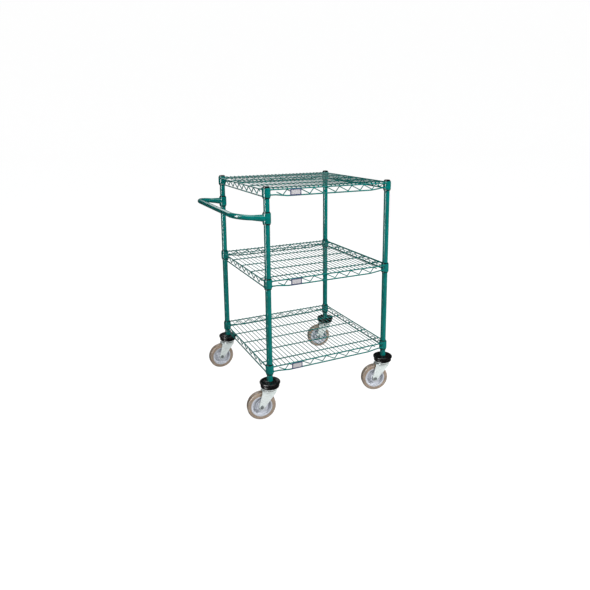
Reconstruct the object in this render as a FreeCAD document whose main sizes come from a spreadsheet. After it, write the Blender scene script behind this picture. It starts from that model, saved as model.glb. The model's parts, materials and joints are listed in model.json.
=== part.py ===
import FreeCAD, Part
import math
import os

import Sketcher
from FreeCAD import Placement, Rotation, Vector

# A three-shelf wire cart on four stem casters, with a tubular push handle.
# Millimetres, +Z up. The origin is on the floor, midway between the four posts.
# The front is -Y and the handle is on the -X side. Each shelf is drawn round its own
# centre with z = 0 at the top of its corner collars; each caster is drawn round its
# swivel axis with its wheel trailing towards -X.

DIMENSIONS = {
    # posts
    "post_pitch": 584.2,
    "post_radius": 12.7,
    "post_wall": 1.5,
    "post_length": 863.6,
    "post_base": 146.0,
    "ring_pitch": 25.4,
    "ring_width": 2.4,
    "ring_depth": 0.8,
    "ring_count": 33,
    "cap_head": 2.4,
    "cap_plug": 14.0,
    # shelf heights, counted in post rings
    "top_ring": 33,
    "middle_ring": 18,
    "bottom_ring": 3,
    "handle_ring": 29,
    # corner collars and the split sleeves inside them
    "collar_rise": 21.5,
    "collar_height": 38.0,
    "collar_chamfer": 3.0,
    "collar_radius": 17.6,
    "sleeve_top_radius": 14.5,
    "sleeve_foot_radius": 15.8,
    "sleeve_reveal": 4.0,
    "sleeve_angle": 176.0,
    "fit_gap": 0.05,
    "bead_height": 2.0,
    # shelf wires
    "rail_radius": 2.9,
    "rail_offset": 12.0,
    "rail_drop": 7.0,
    "low_rail_drop": 34.5,
    "low_rail_end_drop": 28.0,
    "low_rail_bend_near": 36.0,
    "low_rail_bend_far": 88.0,
    "mat_radius": 1.5,
    "mat_pitch": 20.35,
    "mat_long_count": 27,
    "cross_radius": 2.5,
    "cross_pitch": 120.0,
    "cross_count": 5,
    "truss_radius": 2.0,
    "truss_pitch": 61.5,
    "truss_count": 8,
    "truss_first": 70.0,
    "truss_steep": 18.0,
    "truss_start": 42.0,
    "truss_end": 48.0,
    "truss_bend": 5.0,
    # label holder on the front edge of each shelf
    "label_width": 50.0,
    "label_height": 28.0,
    "label_depth": 2.2,
    "label_border": 4.5,
    "label_recess": 1.0,
    "label_rib_depth": 4.5,
    "label_from_post": 124.0,
    # push handle, which rises a little towards its long bar
    "handle_reach": 132.0,
    "handle_rise": 14.5,
    "handle_bend": 68.0,
    "handle_radius": 11.0,
    "handle_wall": 1.5,
    "handle_flare": 14.5,
    "handle_flare_length": 12.0,
    "handle_collar_height": 44.0,
    # casters
    "wheel_radius": 62.5,
    "trail": 40.0,
    "tread_width": 32.0,
    "tread_depth": 16.0,
    "tread_shoulder": 6.0,
    "core_rim": 5.5,
    "core_web": 9.0,
    "hub_radius": 22.0,
    "hub_width": 37.0,
    "bearing_radius": 13.0,
    "bearing_width": 9.0,
    "spacer_radius": 6.5,
    "bolt_radius": 5.0,
    "bolt_gap": 0.1,
    "bolt_head_radius": 8.5,
    "bolt_head_height": 5.0,
    "fork_gap": 38.4,
    "fork_sheet": 3.0,
    "fork_foot_radius": 12.0,
    "fork_back": 35.0,
    "fork_front": 31.0,
    "crown_base": 130.0,
    "crown_height": 3.5,
    "crown_radius": 32.0,
    "crown_bend": 2.8,
    "kingpin_radius": 6.0,
    "swivel_gap": 0.08,
    "ball_radius": 2.9,
    "ball_ring": 23.0,
    "ball_count": 18,
    "housing_base": 139.5,
    "housing_radius": 33.5,
    "housing_sheet": 3.0,
    "housing_skirt": 1.5,
    "seal_inner": 27.0,
    "seal_outer": 30.0,
    "stem_length": 60.0,
    "stem_gap": 0.15,
    "stem_ring_height": 40.0,
    "stem_ring_width": 3.0,
    "stem_ring_depth": 1.6,
    "bumper_height": 25.5,
    "bumper_radius": 45.0,
    "bumper_waist": 39.3,
    "bumper_foot": 41.0,
    # heading of each caster, turned from straight back
    "turn_front_left": 348.0,
    "turn_front_right": 342.0,
    "turn_rear_left": 359.0,
    "turn_rear_right": 344.0,
}

doc = FreeCAD.newDocument("wire_shelf_cart")
sheet = doc.addObject("Spreadsheet::Sheet", "dims")
for row, (alias, number) in enumerate(DIMENSIONS.items(), start=1):
    sheet.set("A%d" % row, alias)
    sheet.set("B%d" % row, str(number))
    sheet.setAlias("B%d" % row, alias)
doc.recompute()

nodes = []
Z_AXIS = Vector(0, 0, 1)
X_AXIS = Vector(1, 0, 0)


# ---------------------------------------------------------------- drawing helpers

def size(expression):
    """Return the number that an expression of sheet cells comes to."""
    return float(sheet.evalExpression(expression))


def bind(thing, **expressions):
    """Bind properties of an object to expressions of sheet cells."""
    for name, expression in expressions.items():
        thing.setExpression(name, expression)


def new_body(name):
    body = doc.addObject("PartDesign::Body", name)
    body.AllowCompound = True
    return body


def new_sketch(body, name, role, lift="0"):
    """Attach a sketch to one of the body's own origin planes, lifted along its normal."""
    plane = next(item for item in body.Origin.OriginFeatures if item.Role == role)
    sketch = body.newObject("Sketcher::SketchObject", name)
    sketch.AttachmentSupport = [(plane, "")]
    sketch.MapMode = "FlatFace"
    sketch.setExpression("AttachmentOffset.Base.z", lift)
    return sketch


def pin_point(sketch, geometry, point, across, up):
    """Hold one point of a sketch at distances from its origin, given as expressions."""
    for kind, axis, expression in (("DistanceX", -2, across), ("DistanceY", -1, up)):
        value = size(expression)
        if abs(value) < 1e-9:
            sketch.addConstraint(Sketcher.Constraint("PointOnObject", geometry, point, axis))
            continue
        ends = (-1, 1, geometry, point) if value > 0 else (geometry, point, -1, 1)
        index = sketch.addConstraint(Sketcher.Constraint(kind, *ends, abs(value)))
        signed = expression if value > 0 else "-(%s)" % expression
        sketch.setExpression("Constraints[%d]" % index, signed)


def outline(body, name, role, corners, lift="0"):
    """Sketch a closed outline of straight edges through corners given as expressions."""
    sketch = new_sketch(body, name, role, lift)
    points = [Vector(size(across), size(up), 0) for across, up in corners]
    count = len(points)
    for index in range(count):
        following = points[(index + 1) % count]
        sketch.addGeometry(Part.LineSegment(points[index], following), False)
    for index in range(count):
        joint = Sketcher.Constraint("Coincident", index, 2, (index + 1) % count, 1)
        sketch.addConstraint(joint)
    for index, (across, up) in enumerate(corners):
        pin_point(sketch, index, 1, across, up)
    return sketch


def round_outline(body, name, role, radius, across="0", up="0", lift="0"):
    """Sketch one circle with its centre and radius given as expressions."""
    sketch = new_sketch(body, name, role, lift)
    centre = Vector(size(across), size(up), 0)
    sketch.addGeometry(Part.Circle(centre, Z_AXIS, size(radius)), False)
    index = sketch.addConstraint(Sketcher.Constraint("Radius", 0, size(radius)))
    sketch.setExpression("Constraints[%d]" % index, radius)
    if abs(centre.x) < 1e-9 and abs(centre.y) < 1e-9:
        sketch.addConstraint(Sketcher.Constraint("Coincident", 0, 3, -1, 1))
    else:
        pin_point(sketch, 0, 3, across, up)
    return sketch


def pad(body, name, sketch, length, symmetric=False, reverse=False):
    feature = body.newObject("PartDesign::Pad", name)
    feature.Profile = sketch
    if symmetric:
        feature.SideType = "Symmetric"
    feature.Reversed = reverse
    bind(feature, Length=length)
    body.Tip = feature
    return feature


def pocket(body, name, sketch, length, symmetric=False, reverse=False):
    """Cut a sketch out of the body and make sure that something was removed."""
    doc.recompute()
    before = body.Shape.Volume
    feature = body.newObject("PartDesign::Pocket", name)
    feature.Profile = sketch
    if symmetric:
        feature.SideType = "Symmetric"
    feature.Reversed = reverse
    bind(feature, Length=length)
    body.Tip = feature
    doc.recompute()
    if body.Shape.Volume > before - 1.0:
        raise ValueError("%s removed nothing from %s" % (name, body.Label))
    return feature


def revolve(body, name, sketch, angle="360"):
    feature = body.newObject("PartDesign::Revolution", name)
    feature.Profile = sketch
    feature.ReferenceAxis = (sketch, ["V_Axis"])
    bind(feature, Angle=angle)
    body.Tip = feature
    return feature


def repeat(body, name, features, sketch, axis, spacing, count):
    """Repeat features in a row along one axis of a sketch."""
    row = body.newObject("PartDesign::LinearPattern", name)
    row.Originals = features
    row.Direction = (sketch, [axis])
    row.Mode = "Spacing"
    bind(row, Offset=spacing, Occurrences=count)
    body.Tip = row
    return row


def turned(name, corners, angle="360"):
    """A piece turned about its own Z axis from one outline of radius and height."""
    body = new_body(name)
    revolve(body, name + "_turn", outline(body, name + "_outline", "XZ_Plane", corners), angle)
    return body


def placed(name, sources, x="0", y="0", z="0", turn=0.0):
    """Stand a group of pieces at a place given as expressions, turned about Z."""
    group = doc.addObject("Part::Compound", name)
    group.Links = sources
    group.Placement = Placement(Vector(size(x), size(y), size(z)), Rotation(Z_AXIS, turn))
    for letter, expression in (("x", x), ("y", y), ("z", z)):
        group.setExpression("Placement.Base." + letter, expression)
    return group


def node(name, sources, **place):
    """Make one named piece of the cart out of finished shapes."""
    piece = placed(name, sources, **place)
    piece.Label = name
    nodes.append(piece)
    return piece


def rounded_path(points, bend):
    """A line through the points with every inner corner rounded to the bend radius."""
    edges = []
    start = points[0]
    for before, corner, after in zip(points, points[1:], points[2:]):
        arriving = (corner - before).normalize()
        leaving = (after - corner).normalize()
        half_turn = arriving.getAngle(leaving) / 2
        reach = bend * math.tan(half_turn)
        entry = corner - arriving * reach
        leave = corner + leaving * reach
        inward = (leaving - arriving).normalize()
        middle = corner + inward * (bend / math.cos(half_turn) - bend)
        edges.append(Part.LineSegment(start, entry).toShape())
        edges.append(Part.Arc(entry, middle, leave).toShape())
        start = leave
    edges.append(Part.LineSegment(start, points[-1]).toShape())
    return Part.Wire(edges)


def swept_wire(name, points, bend, radius):
    """A round wire along a rounded path, as a sweep of one circle."""
    path = doc.addObject("Part::Feature", name + "_path")
    path.Shape = rounded_path(points, bend)
    circle = doc.addObject("Part::Circle", name + "_section")
    bind(circle, Radius=radius)
    facing = Rotation(Z_AXIS, points[1] - points[0])
    circle.Placement = Placement(points[0], facing)
    wire = doc.addObject("Part::Sweep", name)
    wire.Sections = [circle]
    wire.Spine = (path, ["Edge%d" % (i + 1) for i in range(len(path.Shape.Edges))])
    wire.Solid = True
    return wire


def combined(kind, name, base, tool):
    """Cut or fuse two shapes."""
    result = doc.addObject(kind, name)
    result.Base = base
    result.Tool = tool
    return result


# ---------------------------------------------------------------- places

HALF = "dims.post_pitch / 2"
BACK = "-dims.post_pitch / 2"
CORNERS = {
    "front_left": (BACK, BACK),
    "front_right": (HALF, BACK),
    "rear_left": (BACK, HALF),
    "rear_right": (HALF, HALF),
}
HANDLE_CORNERS = ("front_left", "rear_left")
SHELVES = ("top", "middle", "bottom")


def collar_level(ring):
    """Height of a collar's top edge when it sits on the named post ring."""
    return "dims.post_base + dims.ring_pitch * dims.%s_ring + dims.collar_rise" % ring


def at_corners(name, source, corners=CORNERS, z="0"):
    """One copy of a piece at each named corner."""
    copies = []
    for corner in corners:
        x, y = CORNERS[corner]
        copies.append(placed("%s_%s" % (name, corner), [source], x=x, y=y, z=z))
    return copies


# ---------------------------------------------------------------- posts

def build_posts():
    """Rolled tube with a ring groove every inch, and a plug in its upper end."""
    post = new_body("post")
    inner = "dims.post_radius - dims.post_wall"
    tube = outline(post, "post_outline", "XZ_Plane", [
        (inner, "0"),
        ("dims.post_radius", "0"),
        ("dims.post_radius", "dims.post_length"),
        (inner, "dims.post_length"),
    ])
    revolve(post, "post_tube", tube)
    doc.recompute()
    tube_volume = post.Shape.Volume
    ring = outline(post, "ring_outline", "XZ_Plane", [
        ("dims.post_radius - dims.ring_depth", "dims.ring_pitch - dims.ring_width / 2"),
        ("dims.post_radius + 1", "dims.ring_pitch - dims.ring_width / 2"),
        ("dims.post_radius + 1", "dims.ring_pitch + dims.ring_width / 2"),
        ("dims.post_radius - dims.ring_depth", "dims.ring_pitch + dims.ring_width / 2"),
    ])
    groove = post.newObject("PartDesign::Groove", "ring_groove")
    groove.Profile = ring
    groove.ReferenceAxis = (ring, ["V_Axis"])
    groove.Angle = 360
    post.Tip = groove
    doc.recompute()
    if post.Shape.Volume > tube_volume - 1.0:
        raise ValueError("the ring groove cuts nothing")
    repeat(post, "ring_grooves", [groove], ring, "V_Axis", "dims.ring_pitch", "dims.ring_count")
    for corner, (x, y) in CORNERS.items():
        node(corner + "_post", [post], x=x, y=y, z="dims.post_base")

    plug = "dims.post_radius - dims.post_wall - dims.fit_gap"
    cap = turned("cap", [
        ("0", "-dims.cap_plug"),
        (plug + " - 0.8", "-dims.cap_plug"),
        (plug, "-dims.cap_plug + 2"),
        (plug, "0"),
        ("dims.post_radius", "0"),
        ("dims.post_radius", "dims.cap_head - 1"),
        ("dims.post_radius - 1.4", "dims.cap_head"),
        ("0", "dims.cap_head"),
    ])
    node("post_caps", at_corners("cap", cap, z="dims.post_base + dims.post_length"))


# ---------------------------------------------------------------- collars and sleeves

def build_collar(name, height):
    """Tapered ring that is welded to the wires or to the handle tube."""
    slope = "(dims.sleeve_foot_radius - dims.sleeve_top_radius) / (%s + 2 * dims.sleeve_reveal)" % height
    bore_top = "dims.sleeve_top_radius + %s * dims.sleeve_reveal + dims.fit_gap" % slope
    bore_foot = "dims.sleeve_foot_radius - %s * dims.sleeve_reveal + dims.fit_gap" % slope
    return turned(name, [
        (bore_foot, "-(%s)" % height),
        ("dims.collar_radius - dims.collar_chamfer / 2", "-(%s)" % height),
        ("dims.collar_radius", "-(%s) + dims.collar_chamfer" % height),
        ("dims.collar_radius", "-1"),
        ("dims.collar_radius - 1", "0"),
        (bore_top, "0"),
    ])


def build_sleeve(name, height, bead):
    """Half of a split tapered sleeve with an inner bead that drops into a post ring."""
    inner = "dims.post_radius + dims.fit_gap"
    foot = "-(%s) - dims.sleeve_reveal" % height
    tip = "dims.post_radius - dims.ring_depth + dims.fit_gap * 3"
    return turned(name, [
        (inner, foot),
        ("dims.sleeve_foot_radius", foot),
        ("dims.sleeve_top_radius", "dims.sleeve_reveal"),
        (inner, "dims.sleeve_reveal"),
        (inner, "-(%s) + dims.bead_height / 2" % bead),
        (tip, "-(%s) + dims.bead_height / 4" % bead),
        (tip, "-(%s) - dims.bead_height / 4" % bead),
        (inner, "-(%s) - dims.bead_height / 2" % bead),
    ], angle="dims.sleeve_angle")


def sleeve_pairs(name, half, corners, z="0"):
    """Both halves of a sleeve at each named corner."""
    pair = [placed(name + "_half_a", [half], turn=2.0)]
    pair.append(placed(name + "_half_b", [half], turn=182.0))
    both = placed(name + "_pair", pair)
    return at_corners(name, both, corners, z)


# ---------------------------------------------------------------- shelf

def build_mat():
    """Thin wires from front to back that lie on the front and rear rails."""
    mat = new_body("mat")
    level = "-dims.rail_drop + dims.rail_radius + dims.mat_radius"
    full_length = "dims.post_pitch + 2 * (dims.rail_offset + dims.rail_radius)"
    first = "-dims.mat_pitch * (dims.mat_long_count - 1) / 2"
    long_end = round_outline(mat, "long_mat_end", "XZ_Plane", "dims.mat_radius", first, level)
    long_wire = pad(mat, "long_mat_wire", long_end, full_length, symmetric=True)
    repeat(mat, "long_mat_wires", [long_wire], long_end, "H_Axis", "dims.mat_pitch",
           "dims.mat_long_count")
    # the outermost wire on each side stops at the corner collars
    edge = "dims.mat_pitch * (dims.mat_long_count + 1) / 2"
    beside_post = size("dims.post_pitch / 2 - %s" % edge)
    collar = size("dims.collar_radius")
    stop = math.sqrt(collar ** 2 - (beside_post - size("dims.mat_radius")) ** 2)
    short_length = "dims.post_pitch - 2 * %.3f" % (stop + size("dims.fit_gap"))
    short_end = round_outline(mat, "short_mat_end", "XZ_Plane", "dims.mat_radius",
                              "-(%s)" % edge, level)
    short_wire = pad(mat, "short_mat_wire", short_end, short_length, symmetric=True)
    repeat(mat, "short_mat_wires", [short_wire], short_end, "H_Axis", "2 * " + edge, "2")
    return mat


def build_cross_wires():
    """Thicker wires from side to side that carry the mat from below."""
    cross = new_body("cross")
    level = "-dims.rail_drop + dims.rail_radius - dims.cross_radius"
    first = "-dims.cross_pitch * (dims.cross_count - 1) / 2"
    length = "dims.post_pitch + 2 * (dims.rail_offset - dims.rail_radius)"
    end = round_outline(cross, "cross_end", "YZ_Plane", "dims.cross_radius", first, level)
    wire = pad(cross, "cross_wire", end, length, symmetric=True)
    repeat(cross, "cross_wires", [wire], end, "H_Axis", "dims.cross_pitch", "dims.cross_count")
    return cross


def build_rails(envelopes):
    """Two rails on each of the four edges, cut off where they meet the collars."""
    edge = "-(dims.post_pitch / 2 + dims.rail_offset)"
    rails = []
    upper = new_body("upper_rail")
    pad(upper, "upper_rail_wire",
        round_outline(upper, "upper_rail_end", "YZ_Plane", "dims.rail_radius", edge,
                      "-dims.rail_drop"), "dims.post_pitch", symmetric=True)
    for turn in (0, 90, 180, 270):
        rails.append(placed("upper_rail_%d" % turn, [upper], turn=turn))

    side = new_body("side_low_rail")
    pad(side, "side_low_rail_wire",
        round_outline(side, "side_low_rail_end", "YZ_Plane", "dims.rail_radius", edge,
                      "-dims.low_rail_drop"), "dims.post_pitch", symmetric=True)
    for turn in (90, 270):
        rails.append(placed("side_low_rail_%d" % turn, [side], turn=turn))

    half = size(HALF)
    depth = size(edge)
    low = -size("dims.low_rail_drop")
    high = -size("dims.low_rail_end_drop")
    near = half - size("dims.low_rail_bend_near")
    far = half - size("dims.low_rail_bend_far")
    bowed = swept_wire("front_low_rail", [
        Vector(-half, depth, high),
        Vector(-near, depth, high),
        Vector(-far, depth, low),
        Vector(far, depth, low),
        Vector(near, depth, high),
        Vector(half, depth, high),
    ], 60.0, "dims.rail_radius")
    for turn in (0, 180):
        rails.append(placed("front_low_rail_%d" % turn, [bowed], turn=turn))
    return combined("Part::Cut", "rails_cut", placed("rails_whole", rails), envelopes)


def build_trusses():
    """A zigzag wire inside each pair of rails, with steep and shallow strokes."""
    half = size(HALF)
    depth = -(half + size("dims.rail_offset - dims.rail_radius - dims.truss_radius"))
    peak = -size("dims.rail_drop + 1.2")
    valley = -size("dims.low_rail_drop - 1.0")
    pitch = size("dims.truss_pitch")
    steep = size("dims.truss_steep")
    shallow = pitch - steep
    slope = (peak - valley) / shallow
    start = size("dims.truss_start")
    first = size("dims.truss_first")
    points = [Vector(start - half, depth, valley + slope * (first - start))]
    for index in range(int(size("dims.truss_count"))):
        foot = first + pitch * index
        points.append(Vector(foot - half, depth, valley))
        points.append(Vector(foot + steep - half, depth, peak))
    end = 2 * half - size("dims.truss_end")
    last_peak = points[-1].x + half
    points.append(Vector(end - half, depth, peak - slope * (end - last_peak)))
    zigzag = swept_wire("zigzag", points, size("dims.truss_bend"), "dims.truss_radius")
    return [placed("zigzag_%d" % turn, [zigzag], turn=turn) for turn in (0, 90, 180, 270)]


def build_envelope(name, height):
    """A solid cylinder as large as a collar, for trimming what meets the collar."""
    cylinder = doc.addObject("Part::Cylinder", name)
    bind(cylinder, Radius="dims.collar_radius", Height=height)
    cylinder.setExpression("Placement.Base.z", "-(%s)" % height)
    return cylinder


def build_shelves():
    envelope = build_envelope("shelf_envelope", "dims.collar_height")
    envelopes = placed("shelf_envelopes", at_corners("shelf_envelope_at", envelope))
    collar = build_collar("shelf_collar", "dims.collar_height")
    half_sleeve = build_sleeve("shelf_sleeve", "dims.collar_height", "dims.collar_rise")
    pieces = {
        "mat_wires": [build_mat()],
        "cross_wires": [build_cross_wires()],
        "edge_rails": [build_rails(envelopes)],
        "truss_wires": build_trusses(),
        "collars": at_corners("shelf_collar", collar),
        "sleeves": sleeve_pairs("shelf_sleeve", half_sleeve, CORNERS),
    }
    for shelf in SHELVES:
        for piece, sources in pieces.items():
            node("%s_%s" % (shelf, piece), sources, z=collar_level(shelf))


# ---------------------------------------------------------------- label holders

def build_labels():
    """A holder clipped over the front rails with a blank card in its recess."""
    holder = new_body("holder")
    side = "dims.label_width / 2"
    rise = "dims.label_height / 2"
    plate = outline(holder, "holder_plate", "XZ_Plane", [
        ("-" + side, "-" + rise), (side, "-" + rise), (side, rise), ("-" + side, rise),
    ])
    pad(holder, "holder_plate_pad", plate, "dims.label_depth")
    inner_side = side + " - dims.label_border"
    inner_rise = rise + " - dims.label_border"
    recess = outline(holder, "holder_recess", "XZ_Plane", [
        ("-(%s)" % inner_side, "-(%s)" % inner_rise),
        (inner_side, "-(%s)" % inner_rise),
        (inner_side, inner_rise),
        ("-(%s)" % inner_side, inner_rise),
    ], lift="dims.label_depth")
    pocket(holder, "holder_recess_cut", recess, "dims.label_recess")
    rib_rise = "(dims.low_rail_drop - dims.rail_drop) / 2 - dims.rail_radius - dims.fit_gap"
    rib = outline(holder, "holder_rib", "XZ_Plane", [
        ("-(%s)" % inner_side, "-(%s)" % rib_rise),
        (inner_side, "-(%s)" % rib_rise),
        (inner_side, rib_rise),
        ("-(%s)" % inner_side, rib_rise),
    ])
    pad(holder, "holder_rib_pad", rib, "dims.label_rib_depth", reverse=True)

    card = doc.addObject("Part::Box", "card")
    bind(card, Length="dims.label_width - 2 * dims.label_border - 0.4", Width="0.6",
         Height="dims.label_height - 2 * dims.label_border - 0.4")
    for letter, expression in (
            ("x", "-(dims.label_width / 2 - dims.label_border - 0.2)"),
            ("y", "-(dims.label_depth - dims.label_recess + 0.6)"),
            ("z", "-(dims.label_height / 2 - dims.label_border - 0.2)")):
        card.setExpression("Placement.Base." + letter, expression)

    x = "-dims.post_pitch / 2 + dims.label_from_post"
    y = "-dims.post_pitch / 2 - dims.rail_offset - dims.rail_radius"
    for name, source in (("label_holders", holder), ("label_cards", card)):
        copies = []
        for shelf in SHELVES:
            z = collar_level(shelf) + " - (dims.rail_drop + dims.low_rail_drop) / 2"
            copies.append(placed("%s_%s" % (name, shelf), [source], x=x, y=y, z=z))
        node(name, copies)


# ---------------------------------------------------------------- push handle

def build_handle():
    """A bent tube between the two left posts, flared where it meets its collars."""
    level = "dims.post_base + dims.ring_pitch * dims.handle_ring"
    collar_top = level + " + dims.handle_collar_height / 2"
    half = size(HALF)
    height = size(level)
    reach = size("dims.handle_reach")
    bar = height + size("dims.handle_rise")
    bend = size("dims.handle_bend")
    route = [
        Vector(-half, -half, height),
        Vector(-half - reach, -half, bar),
        Vector(-half - reach, half, bar),
        Vector(-half, half, height),
    ]
    outside = swept_wire("handle_outside", route, bend, "dims.handle_radius")
    inside = swept_wire("handle_inside", route, bend, "dims.handle_radius - dims.handle_wall")
    flares = []
    outward = Rotation(Z_AXIS, route[1] - route[0])
    flare_start = "(dims.collar_radius - 2)"
    flare_level = level + " + dims.handle_rise / dims.handle_reach * " + flare_start
    for corner in HANDLE_CORNERS:
        flare = doc.addObject("Part::Cone", "handle_flare_" + corner)
        bind(flare, Radius1="dims.handle_flare", Radius2="dims.handle_radius",
             Height="dims.handle_flare_length")
        flare.Placement = Placement(Vector(0, 0, 0), outward)
        x, y = CORNERS[corner]
        flare.setExpression("Placement.Base.x", x + " - " + flare_start)
        flare.setExpression("Placement.Base.y", y)
        flare.setExpression("Placement.Base.z", flare_level)
        flares.append(flare)
    flared = doc.addObject("Part::MultiFuse", "handle_flared")
    flared.Shapes = [outside] + flares
    hollow = combined("Part::Cut", "handle_hollow", flared, inside)
    envelope = build_envelope("handle_envelope", "dims.handle_collar_height")
    envelopes = placed("handle_envelopes",
                       at_corners("handle_envelope_at", envelope, HANDLE_CORNERS, collar_top))
    tube = combined("Part::Cut", "handle_cut", hollow, envelopes)
    node("handle_tube", [tube])

    collar = build_collar("handle_collar", "dims.handle_collar_height")
    node("handle_collars", at_corners("handle_collar", collar, HANDLE_CORNERS, collar_top))
    half_sleeve = build_sleeve("handle_sleeve", "dims.handle_collar_height",
                               "dims.handle_collar_height / 2")
    node("handle_sleeves",
         sleeve_pairs("handle_sleeve", half_sleeve, HANDLE_CORNERS, collar_top))


# ---------------------------------------------------------------- casters

def build_fork():
    """Pressed fork: a crown plate and disc with two legs that taper to the axle."""
    fork = new_body("fork")
    outer = "(dims.fork_gap / 2 + dims.fork_sheet)"
    crown_top = "dims.crown_base + dims.crown_height"
    plate = outline(fork, "crown_plate", "XY_Plane", [
        ("-dims.fork_back", "-" + outer), ("dims.fork_front", "-" + outer),
        ("dims.fork_front", outer), ("-dims.fork_back", outer),
    ], lift="dims.crown_base")
    pad(fork, "crown_plate_pad", plate, "dims.crown_height")

    # one leg from the side: straight edges that run tangent to the round foot
    leg = new_sketch(fork, "leg_outline", "XZ_Plane", "dims.fork_gap / 2")
    back, front = -size("dims.fork_back"), size("dims.fork_front")
    top = size(crown_top)
    foot = Vector(-size("dims.trail"), size("dims.wheel_radius"), 0)
    radius = size("dims.fork_foot_radius")
    touch = []
    for corner, side in ((Vector(back, top, 0), 1), (Vector(front, top, 0), -1)):
        away = corner - foot
        lean = math.atan2(away.y, away.x) + side * math.acos(radius / away.Length)
        touch.append(foot + Vector(math.cos(lean), math.sin(lean), 0) * radius)
    low = foot - Vector(0, radius, 0)
    leg.addGeometry(Part.LineSegment(Vector(back, top, 0), touch[0]), False)
    leg.addGeometry(Part.Arc(touch[0], low, touch[1]), False)
    leg.addGeometry(Part.LineSegment(touch[1], Vector(front, top, 0)), False)
    leg.addGeometry(Part.LineSegment(Vector(front, top, 0), Vector(back, top, 0)), False)
    arc_start = 1 if leg.getPoint(1, 1).isEqual(touch[0], 1e-4) else 2
    leg.addConstraint(Sketcher.Constraint("Tangent", 0, 2, 1, arc_start))
    leg.addConstraint(Sketcher.Constraint("Tangent", 2, 1, 1, 3 - arc_start))
    leg.addConstraint(Sketcher.Constraint("Coincident", 2, 2, 3, 1))
    leg.addConstraint(Sketcher.Constraint("Coincident", 3, 2, 0, 1))
    pin_point(leg, 0, 1, "-dims.fork_back", crown_top)
    pin_point(leg, 2, 2, "dims.fork_front", crown_top)
    pin_point(leg, 1, 3, "-dims.trail", "dims.wheel_radius")
    index = leg.addConstraint(Sketcher.Constraint("Radius", 1, radius))
    leg.setExpression("Constraints[%d]" % index, "dims.fork_foot_radius")
    leg_pad = pad(fork, "leg_pad", leg, "dims.fork_sheet")
    doc.recompute()
    mirror = fork.newObject("PartDesign::Mirrored", "leg_pair")
    mirror.Originals = [leg_pad]
    middle = next(f for f in fork.Origin.OriginFeatures if f.Role == "XZ_Plane")
    mirror.MirrorPlane = (middle, [""])
    fork.Tip = mirror
    doc.recompute()

    # the sheet bends over between the crown and each leg
    outer_y = size(outer)
    bends = []
    for number, edge in enumerate(mirror.Shape.Edges, start=1):
        box = edge.BoundBox
        along = box.XLength > size("dims.fork_front")
        on_top = abs(box.ZMin - top) < 0.01 and abs(box.ZMax - top) < 0.01
        if along and on_top and abs(abs(box.YMin) - outer_y) < 0.01:
            bends.append("Edge%d" % number)
    fillet = fork.newObject("PartDesign::Fillet", "crown_bends")
    fillet.Base = (mirror, bends)
    bind(fillet, Radius="dims.crown_bend")
    fork.Tip = fillet

    disc = round_outline(fork, "crown_disc", "XY_Plane", "dims.crown_radius",
                         lift="dims.crown_base")
    pad(fork, "crown_disc_pad", disc, "dims.crown_height")
    pivot = round_outline(fork, "kingpin_hole", "XY_Plane",
                          "dims.kingpin_radius + dims.swivel_gap", lift=crown_top)
    pocket(fork, "kingpin_hole_cut", pivot, "dims.crown_height + 1")
    axle = round_outline(fork, "axle_hole", "XZ_Plane", "dims.bolt_radius + dims.bolt_gap",
                         "-dims.trail", "dims.wheel_radius")
    pocket(fork, "axle_hole_cut", axle, "dims.fork_gap + 4 * dims.fork_sheet", symmetric=True)
    return fork


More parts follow.
